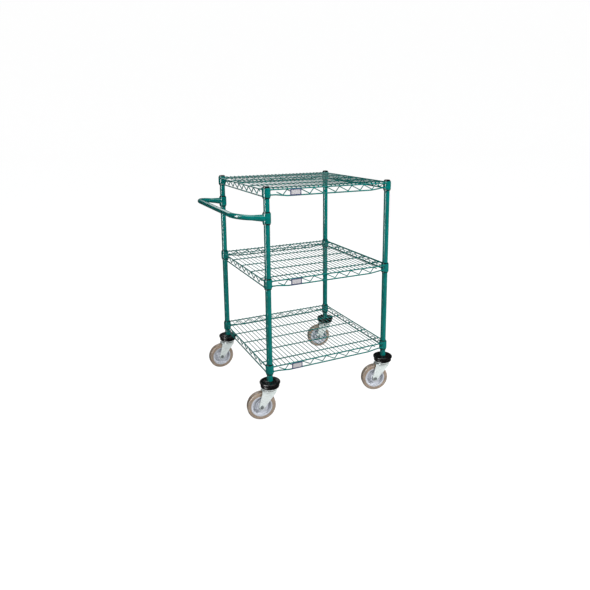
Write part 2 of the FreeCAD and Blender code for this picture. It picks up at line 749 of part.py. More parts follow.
def build_wheel():
    """Tread, core, bearings and spacer, turned about Z and then laid on the axle line."""
    core_radius = "dims.wheel_radius - dims.tread_depth"
    half_tread = "dims.tread_width / 2"
    tread = turned("tread", [
        (core_radius, "-%s" % half_tread),
        ("dims.wheel_radius - dims.tread_shoulder / 2", "-%s" % half_tread),
        ("dims.wheel_radius - dims.tread_shoulder / 6", "-%s + dims.tread_shoulder / 4" % half_tread),
        ("dims.wheel_radius", "-%s + dims.tread_shoulder" % half_tread),
        ("dims.wheel_radius", "%s - dims.tread_shoulder" % half_tread),
        ("dims.wheel_radius - dims.tread_shoulder / 6", "%s - dims.tread_shoulder / 4" % half_tread),
        ("dims.wheel_radius - dims.tread_shoulder / 2", half_tread),
        (core_radius, half_tread),
    ])
    bore = "dims.bearing_radius"
    hub = "dims.hub_width / 2"
    seat = hub + " - dims.bearing_width"
    web = "dims.core_web / 2"
    rim_inner = core_radius + " - dims.core_rim"
    stop = "dims.bearing_radius - 3"
    upper = [
        (core_radius, half_tread + " - 0.5"),
        (rim_inner, half_tread + " - 0.5"),
        (rim_inner + " - 2", web + " + 2"),
        (rim_inner + " - 5", web),
        ("dims.hub_radius + 4", web),
        ("dims.hub_radius + 1", web + " + 2"),
        ("dims.hub_radius", hub),
        (bore, hub),
        (bore, seat),
        (stop, seat),
    ]
    lower = [(across, "-(%s)" % up) for across, up in reversed(upper)]
    core = turned("core", upper + lower)

    shaft = "dims.spacer_radius + dims.fit_gap"
    bearing = turned("bearing", [
        (shaft, "0"), (bore + " - 0.6", "0"), (bore, "0.6"),
        (bore, "dims.bearing_width - 0.6"), (bore + " - 0.6", "dims.bearing_width"),
        (shaft, "dims.bearing_width"),
    ])
    bearings = [placed("bearing_inner", [bearing], z="-dims.hub_width / 2")]
    bearings.append(placed("bearing_outer", [bearing], z="dims.hub_width / 2 - dims.bearing_width"))

    spacer = turned("spacer", [
        ("dims.bolt_radius + dims.bolt_gap", "-dims.fork_gap / 2"),
        ("dims.spacer_radius", "-dims.fork_gap / 2"),
        ("dims.spacer_radius", "dims.fork_gap / 2"),
        ("dims.bolt_radius + dims.bolt_gap", "dims.fork_gap / 2"),
    ])
    laid = {}
    for name, sources in (("tread", [tread]), ("core", [core]), ("bearings", bearings),
                          ("spacer", [spacer]), ("bolt", build_bolt())):
        group = placed("laid_" + name, sources)
        group.Placement = Placement(Vector(0, 0, 0), Rotation(X_AXIS, 90))
        group.setExpression("Placement.Base.x", "-dims.trail")
        group.setExpression("Placement.Base.z", "dims.wheel_radius")
        laid[name] = group
    return laid


def build_bolt():
    """Hexagon bolt and nut that clamp the fork legs on the spacer."""
    reach = "dims.fork_gap / 2 + dims.fork_sheet"
    bolt = new_body("bolt")
    shank = round_outline(bolt, "shank_end", "XY_Plane", "dims.bolt_radius", lift=reach)
    pad(bolt, "shank", shank, "2 * (%s) + dims.bolt_head_height + 3" % reach, reverse=True)
    corners = []
    for index in range(6):
        angle = 60 * index + 30
        corners.append(("dims.bolt_head_radius * cos(%d deg)" % angle,
                        "dims.bolt_head_radius * sin(%d deg)" % angle))
    head = outline(bolt, "head_outline", "XY_Plane", corners, lift=reach)
    pad(bolt, "head", head, "dims.bolt_head_height")
    nut = new_body("nut")
    nut_outline = outline(nut, "nut_outline", "XY_Plane", corners, lift="-(%s)" % reach)
    pad(nut, "nut_pad", nut_outline, "dims.bolt_head_height", reverse=True)
    hole = round_outline(nut, "nut_hole", "XY_Plane", "dims.bolt_radius + 0.02",
                         lift="-(%s)" % reach)
    pocket(nut, "nut_hole_cut", hole, "dims.bolt_head_height + 1")
    return [bolt, nut]


def build_swivel():
    """The fixed half of a caster: stem, housing, race, balls, seal and bumper."""
    base = "dims.post_base"
    bore = "dims.post_radius - dims.post_wall"
    stem_radius = bore + " - dims.stem_gap"
    ring_radius = stem_radius + " - dims.stem_ring_depth"
    ring_level = base + " + dims.stem_ring_height"
    head = "dims.kingpin_radius + 3.5"
    stem = turned("stem", [
        ("0", "dims.crown_base - 5"),
        (head + " - 1", "dims.crown_base - 5"),
        (head, "dims.crown_base - 4"),
        (head, "dims.crown_base - dims.swivel_gap"),
        ("dims.kingpin_radius", "dims.crown_base - dims.swivel_gap"),
        ("dims.kingpin_radius", base),
        (stem_radius, base),
        (stem_radius, ring_level),
        (ring_radius, ring_level),
        (ring_radius, ring_level + " + dims.stem_ring_width + 0.4"),
        (stem_radius, ring_level + " + dims.stem_ring_width + 0.4"),
        (stem_radius, base + " + dims.stem_length - 3"),
        (stem_radius + " - 2.5", base + " + dims.stem_length"),
        ("0", base + " + dims.stem_length"),
    ])
    ring = turned("stem_ring", [
        (ring_radius + " + dims.fit_gap", ring_level + " + 0.2"),
        (bore + " - 0.02", ring_level + " + 0.2"),
        (bore + " - 0.02", ring_level + " + 0.2 + dims.stem_ring_width"),
        (ring_radius + " + dims.fit_gap", ring_level + " + 0.2 + dims.stem_ring_width"),
    ], angle="320")
    inside = "dims.housing_radius - dims.housing_sheet"
    roof = base + " - dims.housing_sheet"
    housing = turned("housing", [
        ("dims.kingpin_radius", roof),
        (inside, roof),
        (inside, "dims.housing_base - dims.housing_skirt"),
        ("dims.housing_radius", "dims.housing_base - dims.housing_skirt"),
        ("dims.housing_radius", base + " - 3.5"),
        ("dims.housing_radius - 1", base + " - 1"),
        ("dims.housing_radius - 3.5", base),
        ("dims.kingpin_radius", base),
    ])
    race = turned("race", [
        ("dims.kingpin_radius", "dims.housing_base"),
        (inside, "dims.housing_base"),
        (inside, roof),
        ("dims.kingpin_radius", roof),
    ])
    crown_top = "dims.crown_base + dims.crown_height + dims.swivel_gap"
    seal = turned("seal", [
        ("dims.seal_inner", crown_top),
        ("dims.seal_outer", crown_top),
        ("dims.seal_outer", "dims.housing_base"),
        ("dims.seal_inner", "dims.housing_base"),
    ])
    ball = doc.addObject("Part::Sphere", "ball")
    bind(ball, Radius="dims.ball_radius")
    count = int(size("dims.ball_count"))
    ring_balls = []
    for index in range(count):
        angle = "(%d deg)" % (index * 360 // count)
        ring_balls.append(placed("ball_%d" % index, [ball],
                                 x="dims.ball_ring * cos%s" % angle,
                                 y="dims.ball_ring * sin%s" % angle,
                                 z="dims.housing_base - dims.ball_radius"))
    balls = placed("ball_ring", ring_balls)
    bumper_top = base + " + dims.bumper_height"
    hole = "dims.post_radius + dims.fit_gap"
    bumper = turned("bumper", [
        (hole, base),
        ("dims.bumper_foot - 1.5", base),
        ("dims.bumper_foot", base + " + 1.5"),
        ("dims.bumper_foot", base + " + 8"),
        ("dims.bumper_waist", base + " + 9.5"),
        ("dims.bumper_waist", base + " + 11"),
        ("dims.bumper_radius - 1.8", base + " + 15"),
        ("dims.bumper_radius", base + " + 18.5"),
        ("dims.bumper_radius - 0.8", bumper_top + " - 3.2"),
        ("dims.bumper_radius - 4", bumper_top + " - 1"),
        ("dims.bumper_radius - 9", bumper_top + " - 1.4"),
        ("dims.bumper_radius - 19", bumper_top + " - 3"),
        ("dims.post_radius + 4", bumper_top),
        (hole, bumper_top),
    ])
    for name, source in (("caster_stems", stem), ("stem_rings", ring),
                         ("swivel_housings", housing), ("upper_races", race),
                         ("swivel_seals", seal),
                         ("swivel_balls", balls), ("bumpers", bumper)):
        node(name, at_corners(name, source))


def build_casters():
    build_swivel()
    fork = build_fork()
    wheel = build_wheel()
    pieces = {
        "fork": fork,
        "axle_bolt": wheel["bolt"],
        "axle_spacer": wheel["spacer"],
        "tread": wheel["tread"],
        "wheel_core": wheel["core"],
        "wheel_bearings": wheel["bearings"],
    }
    for corner, (x, y) in CORNERS.items():
        turn = size("dims.turn_" + corner)
        for name, source in pieces.items():
            node("%s_%s" % (corner, name), [source], x=x, y=y, turn=turn)


# ---------------------------------------------------------------- build and write

build_posts()
build_shelves()
build_labels()
build_handle()
build_casters()
doc.recompute()

for item in doc.Objects:
    if "Invalid" in item.State or "Error" in item.State:
        raise ValueError("%s did not recompute: %s" % (item.Label, item.State))
for piece in nodes:
    if piece.Shape.isNull() or not piece.Shape.isValid() or not piece.Shape.Solids:
        raise ValueError("%s has no valid solid" % piece.Label)

os.makedirs("parts", exist_ok=True)
for piece in nodes:
    piece.Shape.exportStep("parts/%s.step" % piece.Label)
print("wrote %d nodes" % len(nodes))
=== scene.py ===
import json
import math

import bmesh
import bpy
import numpy as np
from mathutils import Matrix, Vector


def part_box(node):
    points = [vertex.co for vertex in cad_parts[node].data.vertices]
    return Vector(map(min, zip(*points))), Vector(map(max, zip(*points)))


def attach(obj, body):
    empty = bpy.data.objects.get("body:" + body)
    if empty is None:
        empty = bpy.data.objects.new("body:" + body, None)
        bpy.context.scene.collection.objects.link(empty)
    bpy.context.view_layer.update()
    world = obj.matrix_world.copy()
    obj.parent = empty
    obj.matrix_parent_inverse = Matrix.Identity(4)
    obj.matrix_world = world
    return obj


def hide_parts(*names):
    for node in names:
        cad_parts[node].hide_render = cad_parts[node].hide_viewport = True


# The looks of a three-shelf wire cart on four stem casters, with a tubular push handle.
# Metres, +Z up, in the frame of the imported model: the front is -Y, the handle is at -X.
# Outlines are (radius, height) or (x, y) points in millimetres, scaled when they are built.

MM = 0.001
CORNERS = ("front_left", "front_right", "rear_left", "rear_right")
SHELVES = ("top", "middle", "bottom")

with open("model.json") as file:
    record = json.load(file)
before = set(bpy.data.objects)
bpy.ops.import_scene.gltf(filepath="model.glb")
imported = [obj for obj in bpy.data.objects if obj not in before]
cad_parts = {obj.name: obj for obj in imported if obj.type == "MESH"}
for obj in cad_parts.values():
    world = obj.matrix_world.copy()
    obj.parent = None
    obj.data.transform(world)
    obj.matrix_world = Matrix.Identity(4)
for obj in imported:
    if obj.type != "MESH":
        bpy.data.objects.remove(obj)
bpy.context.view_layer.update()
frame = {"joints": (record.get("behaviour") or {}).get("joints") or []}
joints = {joint["name"]: joint for joint in frame["joints"]}


# ---------------------------------------------------------------- places, from the frame

def span(node):
    """Lowest and highest corner of a CAD node, in millimetres."""
    low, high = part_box(node)
    return low / MM, high / MM


post_low, post_high = span("front_right_post")
POST_RADIUS = (post_high.x - post_low.x) / 2
HALF = (post_high.x + post_low.x) / 2
POST_BASE, POST_TOP = post_low.z, post_high.z
CAP_TOP = span("post_caps")[1].z
COLLAR_RADIUS = span("top_collars")[1].x - HALF
COLLAR_HEIGHT = span("top_collars")[1].z - span("top_collars")[0].z
COLLAR_TOPS = {shelf: span(shelf + "_collars")[1].z for shelf in SHELVES}
SLEEVE_REVEAL = span("top_sleeves")[1].z - COLLAR_TOPS["top"]
MAT_RADIUS = (span("top_mat_wires")[1].z - span("top_mat_wires")[0].z) / 2
CROSS_RADIUS = (span("top_cross_wires")[1].z - span("top_cross_wires")[0].z) / 2
POST_AXES = {
    "front_left": (-HALF, -HALF),
    "front_right": (HALF, -HALF),
    "rear_left": (-HALF, HALF),
    "rear_right": (HALF, HALF),
}
HANDLE_CORNERS = ("front_left", "rear_left")

# sizes that the frame's boxes don't give, in millimetres
RING_PITCH = 25.4
RING_WIDTH = 2.6
RING_DEPTH = 0.8
POST_WALL = 1.5
PLUG_LENGTH = 14.0
FIT_GAP = 0.05
SLEEVE_TOP_RADIUS = 14.5
SLEEVE_FOOT_RADIUS = 15.8
SLEEVE_ANGLE = 176.0
SHELF_BEAD_DROP = 21.5
KINGPIN_RADIUS = 6.0


# ---------------------------------------------------------------- drawing helpers

END_CHAMFER = 0.35
SMOOTH_ANGLE = math.radians(35)
BEVEL_ANGLE = math.radians(50)


def softened(corners, bend, steps=4, closed=True):
    """A loop of (across, up) corners, each rounded off over the bend or its own third value."""
    points = []
    count = len(corners)
    for index, corner in enumerate(corners):
        here = np.array(corner[:2], float)
        own = corner[2] if len(corner) > 2 else bend
        at_end = not closed and index in (0, count - 1)
        if at_end or own == 0:
            points.append(here)
            continue
        before = np.array(corners[index - 1][:2], float) - here
        after = np.array(corners[(index + 1) % count][:2], float) - here
        reach = min(own, 0.45 * np.linalg.norm(before), 0.45 * np.linalg.norm(after))
        start = here + before / np.linalg.norm(before) * reach
        end = here + after / np.linalg.norm(after) * reach
        for step in range(steps + 1):
            t = step / steps
            points.append((1 - t) ** 2 * start + 2 * t * (1 - t) * here + t * t * end)
    return points


def turned(profile, sides=64, start=0.0, sweep=360.0):
    """Surface turned about Z. A profile that ends on the axis closes there, others are rings."""
    whole = sweep >= 360
    columns = sides if whole else sides + 1
    angles = np.radians(start + sweep * np.arange(columns) / sides)
    points = []
    rows = []
    for radius, height in profile:
        if radius < 1e-6:
            rows.append([len(points)])
            points.append((0.0, 0.0, height))
            continue
        rows.append(list(range(len(points), len(points) + columns)))
        points.extend((radius * math.cos(a), radius * math.sin(a), height) for a in angles)
    faces = []
    pairs = list(zip(rows, rows[1:]))
    if profile[0][0] > 1e-6:
        pairs.append((rows[-1], rows[0]))
    for lower, upper in pairs:
        for index in range(sides):
            following = (index + 1) % columns
            if len(lower) == 1:
                faces.append((lower[0], upper[following], upper[index]))
            elif len(upper) == 1:
                faces.append((lower[index], lower[following], upper[0]))
            else:
                faces.append((lower[index], lower[following], upper[following], upper[index]))
    if not whole:
        faces.append(tuple(row[0] for row in rows))
        faces.append(tuple(row[-1] for row in reversed(rows)))
    return np.array(points), faces


def joined(parts):
    """Several drawings as one."""
    points = []
    faces = []
    total = 0
    for part_points, part_faces in parts:
        points.append(part_points)
        faces.extend(tuple(index + total for index in face) for face in part_faces)
        total += len(part_points)
    return np.concatenate(points), faces


def shifted(part, x=0.0, y=0.0, z=0.0, turn=0.0):
    """A copy turned about Z in degrees and then moved."""
    points, faces = part
    angle = math.radians(turn)
    spin = np.array([[math.cos(angle), math.sin(angle), 0],
                     [-math.sin(angle), math.cos(angle), 0],
                     [0, 0, 1]])
    return points @ spin + np.array([x, y, z]), faces


def at_corners(part, corners=CORNERS, z=0.0):
    """One copy of a drawing round the axis of each named post."""
    return joined([shifted(part, *POST_AXES[corner], z) for corner in corners])


def around(part, turns):
    """Copies of a drawing turned about the middle of the cart."""
    return joined([shifted(part, turn=turn) for turn in turns])


def rounded_path(corners, bend, steps=6):
    """Points along straight runs joined by arcs of one radius."""
    corners = [np.array(corner, float) for corner in corners]
    path = [corners[0]]
    for before, corner, after in zip(corners, corners[1:], corners[2:]):
        arriving = (corner - before) / np.linalg.norm(corner - before)
        leaving = (after - corner) / np.linalg.norm(after - corner)
        half_turn = math.acos(np.clip(arriving @ leaving, -1, 1)) / 2
        reach = bend * math.tan(half_turn)
        inward = (leaving - arriving) / np.linalg.norm(leaving - arriving)
        centre = corner + inward * bend / math.cos(half_turn)
        middle = (corner - arriving * reach + corner + leaving * reach) / 2 - centre
        middle = middle / np.linalg.norm(middle)
        along = (arriving + leaving) / np.linalg.norm(arriving + leaving)
        for step in range(steps + 1):
            angle = (2 * step / steps - 1) * half_turn
            path.append(centre + bend * (middle * math.cos(angle) + along * math.sin(angle)))
    path.append(corners[-1])
    return path


def slid_to_collar(ring, direction):
    """Slide the points of a wire's end along it until they lie just inside a collar."""
    centre = np.array([math.copysign(HALF, ring[0][0]), math.copysign(HALF, ring[0][1])])
    away = ring[:, :2] - centre
    flat = direction[:2]
    a = flat @ flat
    b = away @ flat
    c = (away ** 2).sum(1) - (COLLAR_RADIUS - 0.3) ** 2
    root = np.sqrt(np.maximum(b * b - a * c, 0))
    near = np.where(np.abs(-b + root) < np.abs(-b - root), -b + root, -b - root) / a
    return ring + near[:, None] * direction


def blunted(path, radii):
    """The same wire with its two ends chamfered by a share of their radius."""
    first = path[1] - path[0]
    last = path[-2] - path[-1]
    first_in = path[0] + first / np.linalg.norm(first) * radii[0] * END_CHAMFER
    last_in = path[-1] + last / np.linalg.norm(last) * radii[-1] * END_CHAMFER
    path = [path[0], first_in] + path[1:-1] + [last_in, path[-1]]
    narrow = 1 - END_CHAMFER
    return path, [radii[0] * narrow] + radii[:-1] + [radii[-1], radii[-1] * narrow]


def wire(path, radius, sides=12, to_collars=False):
    """Round wire along a path, its ends chamfered or shaped to the collars they meet."""
    path = [np.array(point, float) for point in path]
    radii = list(radius) if np.ndim(radius) else [radius] * len(path)
    if not to_collars:
        path, radii = blunted(path, radii)
    path = np.array(path)
    steps = np.diff(path, axis=0)
    steps /= np.linalg.norm(steps, axis=1)[:, None]
    tangents = np.vstack([steps[:1], steps[:-1] + steps[1:], steps[-1:]])
    tangents /= np.linalg.norm(tangents, axis=1)[:, None]
    across = np.cross(tangents[0], (0, 0, 1))
    if np.linalg.norm(across) < 1e-3:
        across = np.array([1.0, 0, 0])
    points = []
    for index, (centre, tangent) in enumerate(zip(path, tangents)):
        across = across - tangent * (across @ tangent)
        across /= np.linalg.norm(across)
        up = np.cross(tangent, across)
        # a ring at a bend is stretched so that the wire keeps its thickness
        if 0 < index < len(path) - 1:
            miter = 1 / max(0.5, abs(tangent @ steps[index]))
            bend_way = steps[index] - steps[index - 1]
        else:
            miter, bend_way = 1.0, np.zeros(3)
        angles = 2 * math.pi * np.arange(sides) / sides
        ring = np.outer(np.cos(angles), across) + np.outer(np.sin(angles), up)
        if np.linalg.norm(bend_way) > 1e-6:
            bend_way = bend_way / np.linalg.norm(bend_way)
            ring = ring + np.outer(ring @ bend_way, bend_way) * (miter - 1)
        ring = centre + ring * radii[index]
        if to_collars and index in (0, len(path) - 1):
            ring = slid_to_collar(ring, steps[0] if index == 0 else steps[-1])
        points.append(ring)
    faces = []
    for row in range(len(points) - 1):
        for index in range(sides):
            following = (index + 1) % sides
            faces.append((row * sides + index, row * sides + following,
                          (row + 1) * sides + following, (row + 1) * sides + index))
    faces.append(tuple(range(sides)))
    faces.append(tuple(range((len(points) - 1) * sides, len(points) * sides)))
    return np.concatenate(points), faces


def slab(outline, low, high):
    """A flat piece: an outline in the XY plane raised from one height to another."""
    count = len(outline)
    points = [(x, y, low) for x, y in outline] + [(x, y, high) for x, y in outline]
    faces = [tuple(range(count)), tuple(range(count, 2 * count))]
    for index in range(count):
        following = (index + 1) % count
        faces.append((index, following, count + following, count + index))
    return np.array(points, float), faces


def piece(name, part, finish, slot, body, *nodes, sheet=0.0, bevel=0.0):
    """Make a piece from a drawing and let it stand for CAD nodes.

    A sheet thickness gives body to an open surface; a bevel width rounds its sharp edges.
    """
    points, faces = part
    mesh = bpy.data.meshes.new(name)
    mesh.from_pydata((points * MM).tolist(), [], faces)
    shape = bmesh.new()
    shape.from_mesh(mesh)
    bmesh.ops.recalc_face_normals(shape, faces=shape.faces)
    shape.to_mesh(mesh)
    shape.free()
    mesh.shade_smooth()
    mesh.set_sharp_from_angle(angle=SMOOTH_ANGLE)
    mesh.materials.append(finish)
    thing = bpy.data.objects.new(name, mesh)
    bpy.context.scene.collection.objects.link(thing)
    if sheet:
        thickness = thing.modifiers.new("sheet", "SOLIDIFY")
        thickness.thickness = sheet * MM
        thickness.offset = 0.0
    if bevel:
        edge = thing.modifiers.new("edges", "BEVEL")
        edge.width = bevel * MM
        edge.segments = 3
        edge.angle_limit = BEVEL_ANGLE
    shading = thing.modifiers.new("shading", "WEIGHTED_NORMAL")
    shading.keep_sharp = True
    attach(thing, body)
    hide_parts(*nodes)


# ---------------------------------------------------------------- finishes

class Finish:
    """A material whose colour, roughness and bump come from its own nodes."""

    def __init__(self, name):
        self.material = bpy.data.materials.new(name)
        self.material.use_nodes = True
        self.tree = self.material.node_tree
        self.surface = self.tree.nodes["Principled BSDF"]
        self.place = self.add("ShaderNodeTexCoord").outputs["Object"]

    def add(self, kind, **inputs):
        """A new node with some of its inputs linked or set."""
        node = self.tree.nodes.new(kind)
        for name, value in inputs.items():
            self.feed(node.inputs[name], value)
        return node

    def feed(self, socket, value):
        """Link a socket to the output of another node, or give it a plain value."""
        if isinstance(value, bpy.types.NodeSocket):
            self.tree.links.new(value, socket)
        else:
            socket.default_value = value

    def noise(self, scale, detail=2.0, stretch=(1, 1, 1)):
        """Soft random values, with this many blotches to a metre."""
        mapping = self.add("ShaderNodeMapping", Vector=self.place, Scale=stretch)
        node = self.add("ShaderNodeTexNoise", Vector=mapping.outputs[0], Scale=scale, Detail=detail)
        return node.outputs["Fac"]

    def ramp(self, value, *stops):
        """Colours or greys at positions along a value."""
        node = self.add("ShaderNodeValToRGB", Fac=value)
        elements = node.color_ramp.elements
        while len(elements) < len(stops):
            elements.new(0.5)
        for element, (position, colour) in zip(elements, stops):
            element.position = position
            grey = not isinstance(colour, tuple)
            element.color = (colour, colour, colour, 1) if grey else (*colour, 1)
        return node.outputs["Color"]

    def mixed(self, share, first, second):
        """The first colour, with this share of it replaced by the second."""
        node = self.add("ShaderNodeMix")
        node.data_type = "RGBA"
        colours = [socket for socket in node.inputs if socket.type == "RGBA"]
        self.feed(node.inputs[0], share)
        for socket, value in zip(colours, (first, second)):
            self.feed(socket, (*value, 1) if isinstance(value, tuple) else value)
        return [socket for socket in node.outputs if socket.type == "RGBA"][0]

    def bump(self, height, strength, depth):
        """Unevenness of the surface; depth is in millimetres."""
        node = self.add("ShaderNodeBump", Strength=strength, Distance=depth * MM, Height=height)
        self.feed(self.surface.inputs["Normal"], node.outputs["Normal"])

    def set(self, **inputs):
        """Feed the surface shader's own inputs; Base_Color stands for its Base Color."""
        for name, value in inputs.items():
            socket = self.surface.inputs[name.replace("_", " ")]
            plain_colour = socket.type == "RGBA" and isinstance(value, tuple)
            self.feed(socket, (*value, 1) if plain_colour else value)


def green_epoxy():
    """Glossy green powder coat with a fine orange-peel skin and slightly uneven colour."""
    finish = Finish("green_epoxy_look")
    deep, fresh = (0.0003, 0.118, 0.105), (0.0006, 0.158, 0.143)
    cloudy = finish.ramp(finish.noise(35, 4), (0.3, deep), (0.7, fresh))
    dust = finish.ramp(finish.noise(420, 6), (0.66, 0.0), (0.84, 1.0))
    dusty = finish.mixed(0.05, cloudy, (0.20, 0.40, 0.36))
    finish.set(Base_Color=finish.mixed(dust, cloudy, dusty),
               Roughness=finish.ramp(finish.noise(90, 3), (0.35, 0.13), (0.7, 0.18)),
               Specular_IOR_Level=0.50)
    finish.bump(finish.noise(700, 2), 0.03, 0.04)
    return finish.material


def plated_steel(name, tint, rough, metal):
    """Plated steel: a faint cool spangle, drawing lines and dulled patches."""
    finish = Finish(name)
    cells = finish.add("ShaderNodeTexVoronoi", Vector=finish.place, Scale=420.0)
    spangle = cells.outputs["Distance"]
    dark = tuple(0.86 * value for value in tint)
    patches = finish.ramp(finish.noise(60, 5), (0.35, dark), (0.65, tint))
    lines = finish.noise(260, 2, (0.2, 1.0, 6.0))
    dulled = finish.ramp(spangle, (0.2, 0.0), (0.9, 0.35))
    finish.set(Base_Color=finish.mixed(dulled, patches, dark),
               Metallic=metal,
               Roughness=finish.ramp(lines, (0.3, rough - 0.06), (0.75, rough + 0.12)))
    finish.bump(finish.mixed(0.5, spangle, lines), 0.18, 0.10)
    return finish.material


def black_rubber():
    """Satin moulded rubber with a fine grain and a little dust in it."""
    finish = Finish("black_rubber_look")
    dust = finish.ramp(finish.noise(160, 8), (0.50, 0.0), (0.85, 0.5))
    finish.set(Base_Color=finish.mixed(dust, (0.0022, 0.0022, 0.0026), (0.016, 0.015, 0.016)),
               Roughness=finish.ramp(finish.noise(120, 3), (0.3, 0.20), (0.7, 0.34)),
               Specular_IOR_Level=0.45)
    finish.bump(finish.noise(1500, 3), 0.12, 0.06)
    return finish.material


def moulded_plastic(name, colour, rough):
    """Plain moulded plastic with a fine spark-eroded grain and faint flow marks."""
    finish = Finish(name)
    paler = tuple(min(1.0, value * 1.35 + 0.002) for value in colour)
    flow = finish.noise(50, 3, (1.0, 1.0, 3.0))
    sheen = finish.ramp(finish.noise(200, 2), (0.3, rough - 0.05), (0.7, rough + 0.10))
    finish.set(Base_Color=finish.ramp(flow, (0.3, colour), (0.75, paler)), Roughness=sheen)
    finish.bump(finish.noise(1200, 2), 0.2, 0.06)
    return finish.material


def tan_polyurethane():
    """Cast tread: slightly translucent, with painted shade that darkens it towards its outline where
    it is seen at a slant, and scuffs where it rolls.
    """
    finish = Finish("tan_polyurethane_look")
    brown, tan = (0.29, 0.225, 0.175), (0.39, 0.31, 0.245)
    cloudy = finish.ramp(finish.noise(45, 4), (0.3, brown), (0.7, tan))
    scuffs = finish.ramp(finish.noise(240, 6, (1.0, 1.0, 2.5)), (0.58, 0.0), (0.75, 0.6))
    # painted shade: the colour turns dark brown where the surface is seen at a slant, so the tread's
    # outline reads darker
    facing = finish.add("ShaderNodeLayerWeight", Blend=0.45).outputs["Facing"]
    slant_shade = finish.ramp(facing, (0.45, 0.0), (0.95, 0.8))
    edge_shaded = finish.mixed(slant_shade, cloudy, (0.13, 0.10, 0.085))
    finish.set(Base_Color=finish.mixed(scuffs, edge_shaded, (0.24, 0.19, 0.155)),
               Roughness=finish.ramp(scuffs, (0.0, 0.26), (1.0, 0.55)),
               Subsurface_Weight=0.35,
               Subsurface_Radius=(0.9, 0.6, 0.4),
               Subsurface_Scale=0.004,
               Coat_Weight=0.2,
               Coat_Roughness=0.15)
    finish.bump(finish.noise(900, 4), 0.22, 0.10)
    return finish.material


def grey_nylon():
    """Wheel core: cool grey nylon with moulding swirl and a soft sheen."""
    finish = Finish("grey_nylon_look")
    grey, pale = (0.47, 0.49, 0.54), (0.61, 0.63, 0.68)
    finish.set(Base_Color=finish.ramp(finish.noise(70, 6), (0.3, grey), (0.7, pale)),
               Roughness=finish.ramp(finish.noise(150, 2), (0.3, 0.32), (0.7, 0.46)),
               Subsurface_Weight=0.15,
               Subsurface_Radius=(1.0, 1.0, 1.0),
               Subsurface_Scale=0.002)
    finish.bump(finish.noise(1100, 3), 0.18, 0.08)
    return finish.material


def plain_card():
    """Blank paper card: faint fibres and a grey cast."""
    finish = Finish("plain_card_look")
    fibres = finish.noise(900, 6, (1.0, 1.0, 4.0))
    grey, pale = (0.34, 0.33, 0.35), (0.54, 0.52, 0.53)
    finish.set(Base_Color=finish.ramp(fibres, (0.3, grey), (0.7, pale)),
               Roughness=0.7,
               Coat_Weight=0.35,
               Coat_Roughness=0.12)
    finish.bump(fibres, 0.25, 0.05)
    return finish.material


EPOXY = green_epoxy()
ZINC = plated_steel("bright_zinc_look", (0.93, 1.00, 0.98), 0.28, 0.22)
RUBBER = black_rubber()
BLACK = moulded_plastic("black_plastic_look", (0.003, 0.003, 0.0035), 0.26)
SLATE = moulded_plastic("slate_plastic_look", (0.035, 0.048, 0.110), 0.40)
CARD = plain_card()
STEEL = plated_steel("bearing_steel_look", (0.52, 0.53, 0.55), 0.24, 0.9)
BOLT_ZINC = plated_steel("bolt_zinc_look", (0.42, 0.46, 0.46), 0.28, 0.7)
TREAD = tan_polyurethane()
NYLON = grey_nylon()


# ---------------------------------------------------------------- posts

def post_outline():
    """Wall of a post: a shallow rolled groove at every ring, plain inside."""
    outer = [(POST_RADIUS - 0.4, 0.0), (POST_RADIUS, 0.4)]
    length = POST_TOP - POST_BASE
    for ring in range(1, int(length / RING_PITCH) + 1):
        middle = ring * RING_PITCH
        if middle > length - RING_WIDTH:
            break
        for share in np.linspace(-1, 1, 9):
            depth = RING_DEPTH * (0.5 + 0.5 * math.cos(math.pi * share))
            outer.append((POST_RADIUS - depth, middle + share * RING_WIDTH / 2))
    outer += [(POST_RADIUS, length - 0.4), (POST_RADIUS - 0.4, length)]
    inner = POST_RADIUS - POST_WALL
    return outer + [(inner, length), (inner, 0.0)]


def build_posts():
    """Four ringed tubes, each closed on top by a plug with a shallow dimple."""
    post = turned(post_outline(), 48)
    for corner in CORNERS:
        placed = shifted(post, *POST_AXES[corner], POST_BASE)
        piece(corner + "_post_tube", placed, EPOXY, "green_epoxy", "root", corner + "_post")
    plug = POST_RADIUS - POST_WALL - FIT_GAP
    rise = CAP_TOP - POST_TOP
    dimple = rise - 0.5
    cap = turned(softened([
        (0, -PLUG_LENGTH),
        (plug - 1.6, -PLUG_LENGTH),
        (plug, -PLUG_LENGTH + 2),
        (plug, 0),
        (POST_RADIUS, 0),
        (POST_RADIUS, rise - 0.9),
        (POST_RADIUS - 1.6, rise, 1.2),
        (7.0, rise - 0.15),
        (6.0, dimple),
        (0, dimple),
    ], 0.5, closed=False), 48)
    piece("post_top_caps", at_corners(cap, z=POST_TOP), BLACK, "black_plastic", "root", "post_caps")


# ---------------------------------------------------------------- collars and sleeves

def collar_outline(height):
    """Cross-section of a collar, z = 0 at its upper edge; it narrows a little at both ends."""
    slope = (SLEEVE_FOOT_RADIUS - SLEEVE_TOP_RADIUS) / (height + 2 * SLEEVE_REVEAL)
    bore_top = SLEEVE_TOP_RADIUS + slope * SLEEVE_REVEAL + FIT_GAP
    bore_foot = SLEEVE_FOOT_RADIUS - slope * SLEEVE_REVEAL + FIT_GAP
    return softened([
        (bore_foot, -height, 0.2),
        (COLLAR_RADIUS - 1.2, -height, 0.8),
        (COLLAR_RADIUS, -height + 3.2, 2.0),
        (COLLAR_RADIUS, -5.0, 2.0),
        (COLLAR_RADIUS - 0.5, 0, 0.9),
        (bore_top, 0, 0.2),
    ], 0.5)


